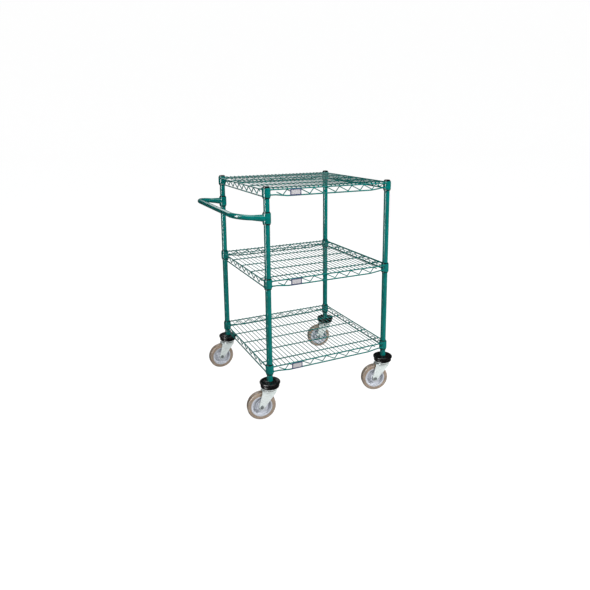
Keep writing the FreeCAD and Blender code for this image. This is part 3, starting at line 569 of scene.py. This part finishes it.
def sleeve_halves(height, bead_drop):
    """Two half sleeves that show above and below a collar, with a bead in the post's ring."""
    inner = POST_RADIUS + FIT_GAP
    foot = -height - SLEEVE_REVEAL
    tip = POST_RADIUS - RING_DEPTH + 3 * FIT_GAP
    outline = softened([
        (inner, foot),
        (SLEEVE_FOOT_RADIUS, foot, 0.6),
        (SLEEVE_TOP_RADIUS, SLEEVE_REVEAL, 0.6),
        (inner, SLEEVE_REVEAL),
        (inner, -bead_drop + 1.0),
        (tip, -bead_drop + 0.5),
        (tip, -bead_drop - 0.5),
        (inner, -bead_drop - 1.0),
    ], 0.2, steps=2)
    split = (180.0 - SLEEVE_ANGLE) / 2
    halves = [turned(outline, 24, start, SLEEVE_ANGLE) for start in (split, split + 180.0)]
    return joined(halves)


def build_collars(name, height, bead_drop, corners, top):
    """Collars and their sleeves at the named posts, with the upper edge of the collars at top."""
    collars = at_corners(turned(collar_outline(height), 64), corners, top)
    piece(name + "_collar_rings", collars, EPOXY, "green_epoxy", "root", name + "_collars")
    sleeves = at_corners(sleeve_halves(height, bead_drop), corners, top)
    piece(name + "_split_sleeves", sleeves, BLACK, "black_plastic", "root", name + "_sleeves")


# ---------------------------------------------------------------- shelf wires

MAT_PITCH = 20.35
MAT_COUNT = 29
CROSS_PITCH = 120.0
CROSS_COUNT = 5
RAIL_RADIUS = 2.9
RAIL_END = 13.0
RAIL_BEND = 60.0
TRUSS_RADIUS = 2.0
TRUSS_PITCH = 61.5
TRUSS_COUNT = 8
TRUSS_FIRST = 70.0
TRUSS_STEEP = 18.0
TRUSS_START = 42.0
TRUSS_END = 48.0
TRUSS_BEND = 5.0
LOW_RAIL_END_RISE = 6.5
LOW_RAIL_BENDS = (36.0, 88.0)
WELD_RADIUS = 1.9
WELD_RISE = 0.8


def spaced(count, pitch):
    """Evenly spaced places, centred on the middle of the cart."""
    return [(index - (count - 1) / 2) * pitch for index in range(count)]


MAT_PLACES = spaced(MAT_COUNT, MAT_PITCH)


def weld(x, y, z):
    """A squashed bead of weld metal where two wires cross."""
    shoulder = (0.75 * WELD_RADIUS, 0.6 * WELD_RISE)
    bead = [(0, -WELD_RISE), (shoulder[0], -shoulder[1]), (WELD_RADIUS, 0), shoulder, (0, WELD_RISE)]
    return shifted(turned(bead, 8), x, y, z)


def build_mat(shelf):
    """Mat wires lie across the rails; the outermost two end on the corner collars."""
    low, high = span(shelf + "_mat_wires")
    level = (low.z + high.z) / 2
    parts = []
    for x in MAT_PLACES:
        outermost = x in (MAT_PLACES[0], MAT_PLACES[-1])
        end = HALF if outermost else high.y
        route = [(x, y, level) for y in np.linspace(-end, end, 5)]
        parts.append(wire(route, MAT_RADIUS, 10, to_collars=outermost))
    piece(shelf + "_mat", joined(parts), EPOXY, "green_epoxy", "root", shelf + "_mat_wires")


def build_cross(shelf):
    """Cross wires under the mat, welded to every mat wire."""
    low, high = span(shelf + "_cross_wires")
    level = (low.z + high.z) / 2
    parts = []
    for y in spaced(CROSS_COUNT, CROSS_PITCH):
        route = [(low.x, y, level), (0, y, level), (high.x, y, level)]
        parts.append(wire(route, CROSS_RADIUS, 12))
        parts.extend(weld(x, y, level + CROSS_RADIUS) for x in MAT_PLACES)
    piece(shelf + "_cross", joined(parts), EPOXY, "green_epoxy", "root", shelf + "_cross_wires")


def rail(middle):
    """A rail along the front edge that swells into the weld at each of its two collars."""
    _, edge, level = middle[0]
    stop = HALF - RAIL_END
    left = [(-stop, edge, level), (-stop + 2.5, edge, level)]
    right = [(stop - 2.5, edge, level), (stop, edge, level)]
    swelling = [RAIL_RADIUS + 0.9, RAIL_RADIUS + 0.35, RAIL_RADIUS]
    radii = swelling + [RAIL_RADIUS] * (len(middle) - 2) + swelling[::-1]
    return wire(left + list(middle) + right, radii, 14, to_collars=True)


def build_rails(shelf):
    """Upper rails all round, straight lower rails at the sides, bowed ones front and rear."""
    low, high = span(shelf + "_edge_rails")
    edge = -(high.y - RAIL_RADIUS)
    upper = high.z - RAIL_RADIUS
    lower = low.z + RAIL_RADIUS
    raised = lower + LOW_RAIL_END_RISE
    inward = HALF - RAIL_END - 6.0
    half_way = (HALF - RAIL_END) / 2

    def straight(level):
        return rail([(x, edge, level) for x in (-inward, -half_way, 0, half_way, inward)])

    near, far = (HALF - bend for bend in LOW_RAIL_BENDS)
    bowed = rail(rounded_path([
        (-inward, edge, raised),
        (-near, edge, raised),
        (-far, edge, lower),
        (far, edge, lower),
        (near, edge, raised),
        (inward, edge, raised),
    ], RAIL_BEND, 5))
    parts = [around(straight(upper), (0, 90, 180, 270)),
             around(straight(lower), (90, 270)),
             around(bowed, (0, 180))]
    for x in MAT_PLACES[1:-1]:
        parts.append(weld(x, edge, high.z))
        parts.append(weld(x, -edge, high.z))
    piece(shelf + "_rails", joined(parts), EPOXY, "green_epoxy", "root", shelf + "_edge_rails")


def build_trusses(shelf):
    """A zigzag wire on each edge, with steep and shallow strokes between the two rails."""
    low, high = span(shelf + "_truss_wires")
    depth = -(high.x - TRUSS_RADIUS)
    valley = low.z + TRUSS_RADIUS
    peak = high.z - TRUSS_RADIUS
    slope = (peak - valley) / (TRUSS_PITCH - TRUSS_STEEP)
    corners = [(TRUSS_START - HALF, depth, valley + slope * (TRUSS_FIRST - TRUSS_START))]
    for index in range(TRUSS_COUNT):
        foot = TRUSS_FIRST + TRUSS_PITCH * index
        corners.append((foot - HALF, depth, valley))
        corners.append((foot + TRUSS_STEEP - HALF, depth, peak))
    end = 2 * HALF - TRUSS_END
    last_peak = corners[-1][0] + HALF
    corners.append((end - HALF, depth, peak - slope * (end - last_peak)))
    zigzag = wire(rounded_path(corners, TRUSS_BEND, 5), TRUSS_RADIUS, 12)
    piece(shelf + "_trusses", around(zigzag, (0, 90, 180, 270)), EPOXY, "green_epoxy", "root",
          shelf + "_truss_wires")


def build_shelves():
    """Collars, sleeves and wires of every shelf."""
    for shelf in SHELVES:
        build_collars(shelf, COLLAR_HEIGHT, SHELF_BEAD_DROP, CORNERS, COLLAR_TOPS[shelf])
        build_mat(shelf)
        build_cross(shelf)
        build_rails(shelf)
        build_trusses(shelf)


# ---------------------------------------------------------------- label holders

LABEL_WIDTH = 50.0
LABEL_HEIGHT = 28.0
LABEL_BORDER = 4.5
LABEL_THICKNESS = 2.2
LABEL_RIB_HEIGHT = 21.6
CARD_THICKNESS = 0.6


def rounded_rectangle(width, height, bend):
    """Outline of a rectangle about its own middle, with round corners."""
    half_width, half_height = width / 2, height / 2
    corners = [(-half_width, -half_height), (half_width, -half_height),
               (half_width, half_height), (-half_width, half_height)]
    return softened(corners, bend)


def standing(part):
    """Stand a drawing made in the XY plane up in the XZ plane, its top facing -Y."""
    points, faces = part
    return np.column_stack([points[:, 0], -points[:, 2], points[:, 1]]), faces


def framed(outer, inner, back, floor, front):
    """A tray: a slab with a recess, from rings of equally many points."""
    rings = [(outer, back), (outer, front), (inner, front), (inner, floor)]
    count = len(outer)
    points = [(x, y, z) for ring, z in rings for x, y in ring]
    faces = [tuple(range(count)), tuple(range(3 * count, 4 * count))]
    for row in range(3):
        for index in range(count):
            following = (index + 1) % count
            faces.append((row * count + index, row * count + following,
                          (row + 1) * count + following, (row + 1) * count + index))
    return np.array(points, float), faces


def build_labels():
    """Holders with a rib that clips between the front rails, each with a blank card."""
    holder_low, holder_high = span("label_holders")
    card_low, card_high = span("label_cards")
    x = (holder_low.x + holder_high.x) / 2
    face = holder_low.y
    recess = card_low.y - face + CARD_THICKNESS
    inner_width = LABEL_WIDTH - 2 * LABEL_BORDER
    inner_height = LABEL_HEIGHT - 2 * LABEL_BORDER
    tray = framed(rounded_rectangle(LABEL_WIDTH, LABEL_HEIGHT, 2.2),
                  rounded_rectangle(inner_width, inner_height, 1.2),
                  -LABEL_THICKNESS, -recess, 0.0)
    rib = slab(rounded_rectangle(inner_width, LABEL_RIB_HEIGHT, 0.8),
               face - holder_high.y, -LABEL_THICKNESS + 0.1)
    card = slab(rounded_rectangle(card_high.x - card_low.x, inner_height - 0.4, 0.9),
                -recess, -recess + CARD_THICKNESS - 0.05)
    holders = []
    cards = []
    for shelf in SHELVES:
        rails_low, rails_high = span(shelf + "_edge_rails")
        level = (rails_low.z + rails_high.z) / 2
        holders.append(shifted(standing(joined([tray, rib])), x, face, level))
        cards.append(shifted(standing(card), x, face, level))
    piece("label_frames", joined(holders), SLATE, "slate_plastic", "root", "label_holders",
          bevel=0.4)
    piece("blank_cards", joined(cards), CARD, "white_card", "root", "label_cards", bevel=0.08)


# ---------------------------------------------------------------- push handle

HANDLE_RADIUS = 11.0
HANDLE_BEND = 68.0
HANDLE_START = 15.0
HANDLE_FLARE = 3.5
HANDLE_FLARE_LENGTH = 15.0


def build_handle():
    """A bent tube that rises from its two collars to the long bar."""
    low, high = span("handle_tube")
    collar_low, collar_high = span("handle_collars")
    level = (collar_low.z + collar_high.z) / 2
    reach = -low.x - HALF - HANDLE_RADIUS
    bar = high.z - HANDLE_RADIUS
    root = level + (bar - level) * HANDLE_START / reach
    path = rounded_path([
        (-HALF - HANDLE_START, -HALF, root),
        (-HALF - reach, -HALF, bar),
        (-HALF - reach, HALF, bar),
        (-HALF - HANDLE_START, HALF, root),
    ], HANDLE_BEND, 40)
    # the tube spreads into its collars over the last few millimetres
    radii = []
    for point in path:
        away = max(0.0, -HALF - COLLAR_RADIUS - point[0])
        spread = max(0.0, 1 - away / HANDLE_FLARE_LENGTH) ** 2
        radii.append(HANDLE_RADIUS + HANDLE_FLARE * spread)
    tube = wire(path, radii, 40, to_collars=True)
    piece("push_handle", tube, EPOXY, "green_epoxy", "root", "handle_tube")
    height = collar_high.z - collar_low.z
    build_collars("handle", height, height / 2, HANDLE_CORNERS, collar_high.z)


# ---------------------------------------------------------------- casters, the fixed half

HOUSING_SHEET = 3.0
BALL_RING = 23.0
BALL_COUNT = 18
STEM_GAP = 0.15
STEM_HEAD = 9.5
SNAP_RING_DEPTH = 1.6
CROWN_SHEET = 3.5


def build_bumpers():
    """Soft rings round the foot of each post, with a waist and a dished top."""
    low, high = span("bumpers")
    rise = high.z - low.z
    outer = high.x - HALF
    foot = outer - 4.0
    waist = outer - 5.7
    hole = POST_RADIUS + FIT_GAP
    outline = softened([
        (hole, 0, 0.5),
        (foot - 1.2, 0, 1.0),
        (foot, 1.5, 1.2),
        (foot, 8.0, 1.2),
        (waist, 9.4, 1.0),
        (waist, 11.0, 1.0),
        (outer - 1.8, 14.2, 2.0),
        (outer, 18.0, 4.0),
        (outer, rise - 4.0, 3.0),
        (outer - 3.0, rise - 0.8, 3.0),
        (outer - 8.0, rise - 1.0, 3.0),
        (outer - 16.0, rise - 3.2, 5.0),
        (hole + 6.0, rise - 1.6, 3.0),
        (hole + 2.5, rise, 1.5),
        (hole, rise, 0.4),
    ], 1.0, steps=5)
    piece("donut_bumpers", at_corners(turned(outline, 96), z=low.z), RUBBER, "black_rubber",
          "root", "bumpers")


def build_housings():
    """The pressed cup over the balls and the race inside it."""
    low, high = span("swivel_housings")
    outer = high.x - HALF
    inner = outer - HOUSING_SHEET
    roof = high.z - HOUSING_SHEET
    cup = turned(softened([
        (KINGPIN_RADIUS, roof, 0),
        (inner, roof, 1.5),
        (inner, low.z, 0.8),
        (outer, low.z, 0.8),
        (outer, high.z - 3.2, 1.6),
        (outer - 3.2, high.z, 1.6),
        (KINGPIN_RADIUS, high.z, 0),
    ], 0.6, steps=5), 96)
    piece("swivel_cups", at_corners(cup), ZINC, "zinc_steel", "root", "swivel_housings")

    low, high = span("upper_races")
    race = turned(softened([
        (KINGPIN_RADIUS, low.z),
        (BALL_RING - 4.0, low.z),
        (BALL_RING, low.z + 0.7),
        (BALL_RING + 4.0, low.z),
        (inner, low.z),
        (inner, high.z),
        (KINGPIN_RADIUS, high.z),
    ], 0.3), 96)
    piece("ball_races", at_corners(race), STEEL, "bearing_steel", "root", "upper_races")


def build_seals():
    """Dust seals with a shallow groove round the outside."""
    low, high = span("swivel_seals")
    outer = high.x - HALF
    inner = outer - 3.0
    seal = turned(softened([
        (inner, low.z),
        (outer, low.z, 0.9),
        (outer - 0.5, low.z + 2.2, 0.9),
        (outer, high.z, 0.9),
        (inner, high.z),
    ], 0.3), 96)
    piece("dust_seals", at_corners(seal), RUBBER, "black_rubber", "root", "swivel_seals")


def build_balls():
    """A ring of balls round each kingpin."""
    low, high = span("swivel_balls")
    radius = (high.z - low.z) / 2
    middle = (high.z + low.z) / 2
    arc = [(radius * math.sin(angle), -radius * math.cos(angle))
           for angle in np.linspace(0, math.pi, 11)]
    ball = turned(arc, 20)
    balls = []
    for index in range(BALL_COUNT):
        angle = 2 * math.pi * index / BALL_COUNT
        balls.append(shifted(ball, BALL_RING * math.cos(angle), BALL_RING * math.sin(angle), middle))
    piece("race_balls", at_corners(joined(balls)), STEEL, "bearing_steel", "root", "swivel_balls")


def build_stems():
    """Stems in the feet of the posts, each with its kingpin below and a snap ring round it."""
    low, high = span("caster_stems")
    ring_low, ring_high = span("stem_rings")
    bore = POST_RADIUS - POST_WALL
    shank = bore - STEM_GAP
    groove = shank - SNAP_RING_DEPTH
    groove_low = ring_low.z - 0.2
    groove_high = ring_high.z + 0.2
    head_top = span("front_left_fork")[1].z - CROWN_SHEET - 0.08
    stem = turned(softened([
        (0, low.z),
        (STEM_HEAD - 1.0, low.z, 0.8),
        (STEM_HEAD, low.z + 1.0, 0.5),
        (STEM_HEAD, head_top, 0.3),
        (KINGPIN_RADIUS, head_top, 0),
        (KINGPIN_RADIUS, POST_BASE, 0),
        (shank, POST_BASE, 0),
        (shank, groove_low, 0.2),
        (groove, groove_low, 0.2),
        (groove, groove_high, 0.2),
        (shank, groove_high, 0.2),
        (shank, high.z - 3.0, 1.0),
        (shank - 2.5, high.z, 1.0),
        (0, high.z),
    ], 0.3, closed=False), 64)
    piece("stem_shafts", at_corners(stem), ZINC, "zinc_steel", "root", "caster_stems")

    ring = turned(softened([
        (groove + FIT_GAP, ring_low.z),
        (bore - 0.02, ring_low.z),
        (bore - 0.02, ring_high.z),
        (groove + FIT_GAP, ring_high.z),
    ], 0.4), 40, 0.0, 320.0)
    piece("stem_snap_rings", at_corners(ring), ZINC, "zinc_steel", "root", "stem_rings")


# ---------------------------------------------------------------- casters, the turning half

AXLE = joints["front_left_wheel_spin"]["pos_m"][2] / MM
CROWN_TOP = span("front_left_fork")[1].z
TRAIL = 40.0
FORK_GAP = 38.4
FORK_SHEET = 3.0
FORK_FOOT = 12.0
FORK_BACK = 35.0
FORK_FRONT = 31.0
FORK_BEND = 5.0
CROWN_RADIUS = 32.0
CROWN_HOLE = 6.1
TREAD_WIDTH = 32.0
TREAD_DEPTH = 16.0
CORE_WEB = 9.0
CORE_RIM = 5.5
HUB_WIDTH = 37.0
HUB_RADIUS = 21.0
BEARING_WIDTH = 9.0
BEARING_RADIUS = 13.0
SPACER_RADIUS = 6.5
BOLT_RADIUS = 5.0
BOLT_HEAD_RADIUS = 8.5
BOLT_HEAD_HEIGHT = 5.0
BOLT_TIP = 2.8
WHEEL_PIECES = ("wheel_tread", "wheel_hub", "hub_bearings")


def leg_sides(height):
    """Back and front edge of a fork leg at a height: lines that run into a round foot."""
    edges = []
    for corner, side in ((-FORK_BACK, 1), (FORK_FRONT, -1)):
        across, up = corner + TRAIL, CROWN_TOP - AXLE
        lean = math.atan2(up, across) + side * math.acos(FORK_FOOT / math.hypot(across, up))
        touch = (FORK_FOOT * math.cos(lean), FORK_FOOT * math.sin(lean))
        rise = height - AXLE
        if rise <= touch[1]:
            across = -side * math.sqrt(max(FORK_FOOT ** 2 - rise ** 2, 0.0))
        else:
            share = (rise - touch[1]) / (up - touch[1])
            across = touch[0] + (across - touch[0]) * share
        edges.append(across - TRAIL)
    return edges


def fork_sheet():
    """Middle of the pressed sheet: down one leg, over the crown in round bends, down the other."""
    out = (FORK_GAP + FORK_SHEET) / 2
    crown = CROWN_TOP - FORK_SHEET / 2
    shoulder = crown - FORK_BEND
    path = []
    for angle in np.linspace(0, math.pi / 2, 13)[1:]:
        path.append((-out, AXLE - FORK_FOOT * math.cos(angle)))
    for height in np.linspace(AXLE, shoulder, 9)[1:]:
        path.append((-out, height))
    for angle in np.linspace(0, math.pi / 2, 7)[1:]:
        path.append((-out + FORK_BEND * (1 - math.cos(angle)),
                     shoulder + FORK_BEND * math.sin(angle)))
    path.append((-out / 2, crown))
    path = path + [(0.0, crown)] + [(-y, z) for y, z in reversed(path)]
    wide = 17
    points = []
    for y, z in path:
        points.extend((x, y, z) for x in np.linspace(*leg_sides(min(z, shoulder)), wide))
    faces = []
    for line in range(len(path) - 1):
        for index in range(wide - 1):
            near, far = line * wide + index, (line + 1) * wide + index
            faces.append((near, near + 1, far + 1, far))
    return np.array(points), faces


def crown_disc():
    """Round plate with the kingpin's hole, on top of the fork."""
    base = CROWN_TOP - CROWN_SHEET
    return turned(softened([
        (CROWN_HOLE, base, 0.3),
        (CROWN_RADIUS - 0.8, base, 1.2),
        (CROWN_RADIUS, CROWN_TOP - 1.6, 1.2),
        (CROWN_RADIUS - 0.8, CROWN_TOP, 0.8),
        (CROWN_HOLE, CROWN_TOP, 0.3),
    ], 0.5), 96)


# everything on the axle is drawn upright about Z and laid down when it is placed

def bolt_and_nut():
    """Hexagon bolt through both fork legs, its tip standing out of the nut."""
    outside = FORK_GAP / 2 + FORK_SHEET
    corners = [math.radians(60 * side + 30) for side in range(6)]
    hexagon = [(BOLT_HEAD_RADIUS * math.cos(a), BOLT_HEAD_RADIUS * math.sin(a)) for a in corners]
    head = slab(hexagon, outside, outside + BOLT_HEAD_HEIGHT)
    nut = slab(hexagon, -outside - BOLT_HEAD_HEIGHT, -outside)
    tip = -outside - BOLT_HEAD_HEIGHT - BOLT_TIP
    shank = turned(softened([
        (0, tip),
        (BOLT_RADIUS - 0.8, tip, 0.4),
        (BOLT_RADIUS, tip + 0.8, 0.4),
        (BOLT_RADIUS, outside, 0),
        (0, outside),
    ], 0.3, closed=False), 32)
    return joined([head, nut, shank])


def spacer():
    """Tube between the fork legs that the bearings sit on."""
    bore = BOLT_RADIUS + 0.1
    end = FORK_GAP / 2
    return turned([(bore, -end), (SPACER_RADIUS, -end), (SPACER_RADIUS, end), (bore, end)], 32)


def tread():
    """Tyre with a flat running face and rounded shoulders."""
    side = TREAD_WIDTH / 2
    inner = AXLE - TREAD_DEPTH
    return turned(softened([
        (inner, -side, 0.4),
        (AXLE - 3.4, -side, 2.6),
        (AXLE, -side + 5.0, 4.0),
        (AXLE, side - 5.0, 4.0),
        (AXLE - 3.4, side, 2.6),
        (inner, side, 0.4),
    ], 1.0, steps=6), 128)


def wheel_core():
    """Hub, thin web and rim in one moulding."""
    outer = AXLE - TREAD_DEPTH
    side = TREAD_WIDTH / 2 - 0.5
    rim = outer - CORE_RIM
    web = CORE_WEB / 2
    hub = HUB_WIDTH / 2
    seat = hub - BEARING_WIDTH
    stop = BEARING_RADIUS - 3.0
    upper = [
        (outer, side, 0.5),
        (rim, side, 1.4),
        (rim - 2.5, web + 2.5, 3.0),
        (rim - 6.0, web + 0.6, 3.0),
        (HUB_RADIUS + 7.0, web, 3.0),
        (HUB_RADIUS + 2.5, web + 2.5, 3.0),
        (HUB_RADIUS + 0.8, hub - 1.0, 1.0),
        (HUB_RADIUS, hub, 0.8),
        (BEARING_RADIUS, hub, 0.3),
        (BEARING_RADIUS, seat, 0.2),
        (stop, seat, 0.2),
    ]
    lower = [(across, -up, bend) for across, up, bend in reversed(upper)]
    return turned(softened(upper + lower, 0.5), 128)


def bearings():
    """A pair of ball bearings; the grooves in their outer faces mark off the two races."""
    bore = SPACER_RADIUS + FIT_GAP
    bearing = turned(softened([
        (bore, 0, 0.2),
        (bore + 2.05, 0, 0.3),
        (bore + 2.35, 0.5, 0.3),
        (BEARING_RADIUS - 2.4, 0.5, 0.3),
        (BEARING_RADIUS - 2.1, 0, 0.3),
        (BEARING_RADIUS - 0.5, 0, 0.6),
        (BEARING_RADIUS, 0.6, 0.6),
        (BEARING_RADIUS, BEARING_WIDTH, 0.3),
        (bore, BEARING_WIDTH, 0.2),
    ], 0.3, steps=2), 64)
    points, faces = bearing
    across = (points - np.array([0, 0, HUB_WIDTH / 2])) * np.array([1, 1, -1])
    return joined([shifted(bearing, z=-HUB_WIDTH / 2), (across, faces)])


def on_axle(part):
    """Lay a drawing down so that its Z axis becomes the axle."""
    points, faces = part
    return np.column_stack([points[:, 0] - TRAIL, -points[:, 2], points[:, 1] + AXLE]), faces


def build_casters():
    """Fork, axle and wheel of each caster, turned to its own heading."""
    # the crown disc has no node of its own: it is drawn with the fork
    pieces = (
        ("pressed_fork", fork_sheet(), ZINC, "zinc_steel", "fork",
         {"sheet": FORK_SHEET, "bevel": 0.7}),
        ("fork_crown", crown_disc(), ZINC, "zinc_steel", None, {}),
        ("bolt_and_nut", on_axle(bolt_and_nut()), BOLT_ZINC, "zinc_steel", "axle_bolt",
         {"bevel": 0.35}),
        ("spacer_tube", on_axle(spacer()), ZINC, "zinc_steel", "axle_spacer", {}),
        ("wheel_tread", on_axle(tread()), TREAD, "tan_polyurethane", "tread", {}),
        ("wheel_hub", on_axle(wheel_core()), NYLON, "grey_nylon", "wheel_core", {}),
        ("hub_bearings", on_axle(bearings()), STEEL, "bearing_steel", "wheel_bearings", {}),
    )
    for corner in CORNERS:
        axis = joints[corner + "_wheel_spin"]["axis"]
        heading = math.degrees(math.atan2(-axis[0], axis[1]))
        for name, part, finish, slot, node, shaping in pieces:
            body = corner + ("_wheel" if name in WHEEL_PIECES else "_caster")
            nodes = [corner + "_" + node] if node else []
            placed = shifted(part, *POST_AXES[corner], 0.0, heading)
            piece(corner + "_" + name, placed, finish, slot, body, *nodes, **shaping)


# ---------------------------------------------------------------- stage, light and camera

ROOM_LIGHT = 0.34
REFLECTED_ROOM = 0.045
FLOOR_GLOW = 0.975
FLOOR_RADIUS = 30000.0
FLOOR_RISE = 12000.0
FLOOR_BEND = 9000.0


def light_path(tree):
    """Sockets that tell a shader what kind of ray it is seen by."""
    return tree.nodes.new("ShaderNodeLightPath").outputs


def build_stage():
    """A pale floor that curves up far behind the cart and glows for the camera alone."""
    finish = Finish("pale_floor")
    rays = light_path(finish.tree)
    glow = finish.add("ShaderNodeMath")
    glow.operation = "MULTIPLY"
    finish.feed(glow.inputs[0], rays["Is Camera Ray"])
    finish.feed(glow.inputs[1], FLOOR_GLOW)
    pale = finish.ramp(finish.noise(3, 2), (0.3, 0.08), (0.7, 0.10))
    finish.set(Base_Color=finish.mixed(rays["Is Diffuse Ray"], pale, (0.36, 0.36, 0.36)),
               Roughness=0.9,
               Specular_IOR_Level=0.1,
               Emission_Color=(1.0, 1.0, 1.0),
               Emission_Strength=glow.outputs[0])
    profile = [(0, 0), (FLOOR_RADIUS, 0), (FLOOR_RADIUS, FLOOR_RISE)]
    points, faces = turned(softened(profile, FLOOR_BEND, 12, closed=False), 64)
    mesh = bpy.data.meshes.new("floor")
    mesh.from_pydata((points * MM).tolist(), [], faces)
    mesh.shade_smooth()
    mesh.materials.append(finish.material)
    floor = bpy.data.objects.new("floor", mesh)
    bpy.context.scene.collection.objects.link(floor)


def area_light(name, place, aim, size, power, lights=True, shines=True):
    """A soft box; one that lights nothing only shows as a highlight, and the other way round."""
    light = bpy.data.lights.new(name, "AREA")
    light.shape = "RECTANGLE"
    light.size, light.size_y = size
    light.energy = power
    lamp = bpy.data.objects.new(name, light)
    lamp.location = place
    lamp.visible_diffuse = lights
    lamp.visible_glossy = shines
    lamp.rotation_euler = (Vector(aim) - Vector(place)).to_track_quat("-Z", "Y").to_euler()
    bpy.context.scene.collection.objects.link(lamp)


def build_light():
    """A dim room with a white backdrop, four soft boxes and three lights for the sheen alone."""
    world = bpy.data.worlds.new("studio")
    bpy.context.scene.world = world
    world.use_nodes = True
    tree = world.node_tree
    room = tree.nodes["Background"]
    room.inputs["Color"].default_value = (0.92, 0.97, 1.0, 1)
    rays = light_path(tree)
    strength = tree.nodes.new("ShaderNodeMix")
    strength.inputs["A"].default_value = ROOM_LIGHT
    strength.inputs["B"].default_value = REFLECTED_ROOM
    tree.links.new(rays["Is Glossy Ray"], strength.inputs["Factor"])
    tree.links.new(strength.outputs["Result"], room.inputs["Strength"])
    backdrop = tree.nodes.new("ShaderNodeBackground")
    backdrop.inputs["Color"].default_value = (1, 1, 1, 1)
    choice = tree.nodes.new("ShaderNodeMixShader")
    tree.links.new(rays["Is Camera Ray"], choice.inputs[0])
    tree.links.new(room.outputs[0], choice.inputs[1])
    tree.links.new(backdrop.outputs[0], choice.inputs[2])
    tree.links.new(choice.outputs[0], tree.nodes["World Output"].inputs["Surface"])
    middle = (0, 0, 0.6)
    area_light("key_box", (1.9, -3.0, 2.0), middle, (1.1, 1.8), 145, shines=False)
    area_light("top_box", (0.2, -0.4, 3.4), middle, (2.0, 2.0), 54)
    area_light("left_fill", (-2.6, -1.6, 1.6), middle, (1.2, 1.2), 32, shines=False)
    area_light("back_fill", (1.2, 2.9, 1.7), middle, (1.4, 1.4), 46, shines=False)
    area_light("left_sheen", (-2.5, -0.7, 0.9), (0, -0.3, 0.8), (0.6, 2.4), 92, lights=False)
    area_light("high_sheen", (-2.4, -0.9, 2.6), middle, (1.6, 1.0), 75, lights=False)
    area_light("back_sheen", (-0.3, 2.9, 2.2), middle, (1.8, 0.9), 11, lights=False)
    # plain tone curve, so that the white ground stays white
    bpy.context.scene.view_settings.view_transform = "Standard"


def build_camera():
    """The eye stands front left of the cart at the height of a raised hand."""
    camera = bpy.data.cameras.new("eye")
    camera.sensor_width = 36.0
    camera.lens = 32.17
    camera.shift_x = -0.0224
    camera.shift_y = -0.1000
    eye = bpy.data.objects.new("eye", camera)
    heading, drop, roll = math.radians(26.44), math.radians(11.62), math.radians(-0.22)
    look = Vector((math.sin(heading) * math.cos(drop), math.cos(heading) * math.cos(drop),
                   -math.sin(drop)))
    aim = look.to_track_quat("-Z", "Y").to_matrix() @ Matrix.Rotation(roll, 3, "Z")
    eye.matrix_world = Matrix.Translation((-1.080, -2.254, 1.242)) @ aim.to_4x4()
    bpy.context.scene.collection.objects.link(eye)
    bpy.context.scene.camera = eye


build_posts()
build_shelves()
build_labels()
build_handle()
build_bumpers()
build_housings()
build_seals()
build_balls()
build_stems()
build_casters()
build_stage()
build_light()
build_camera()
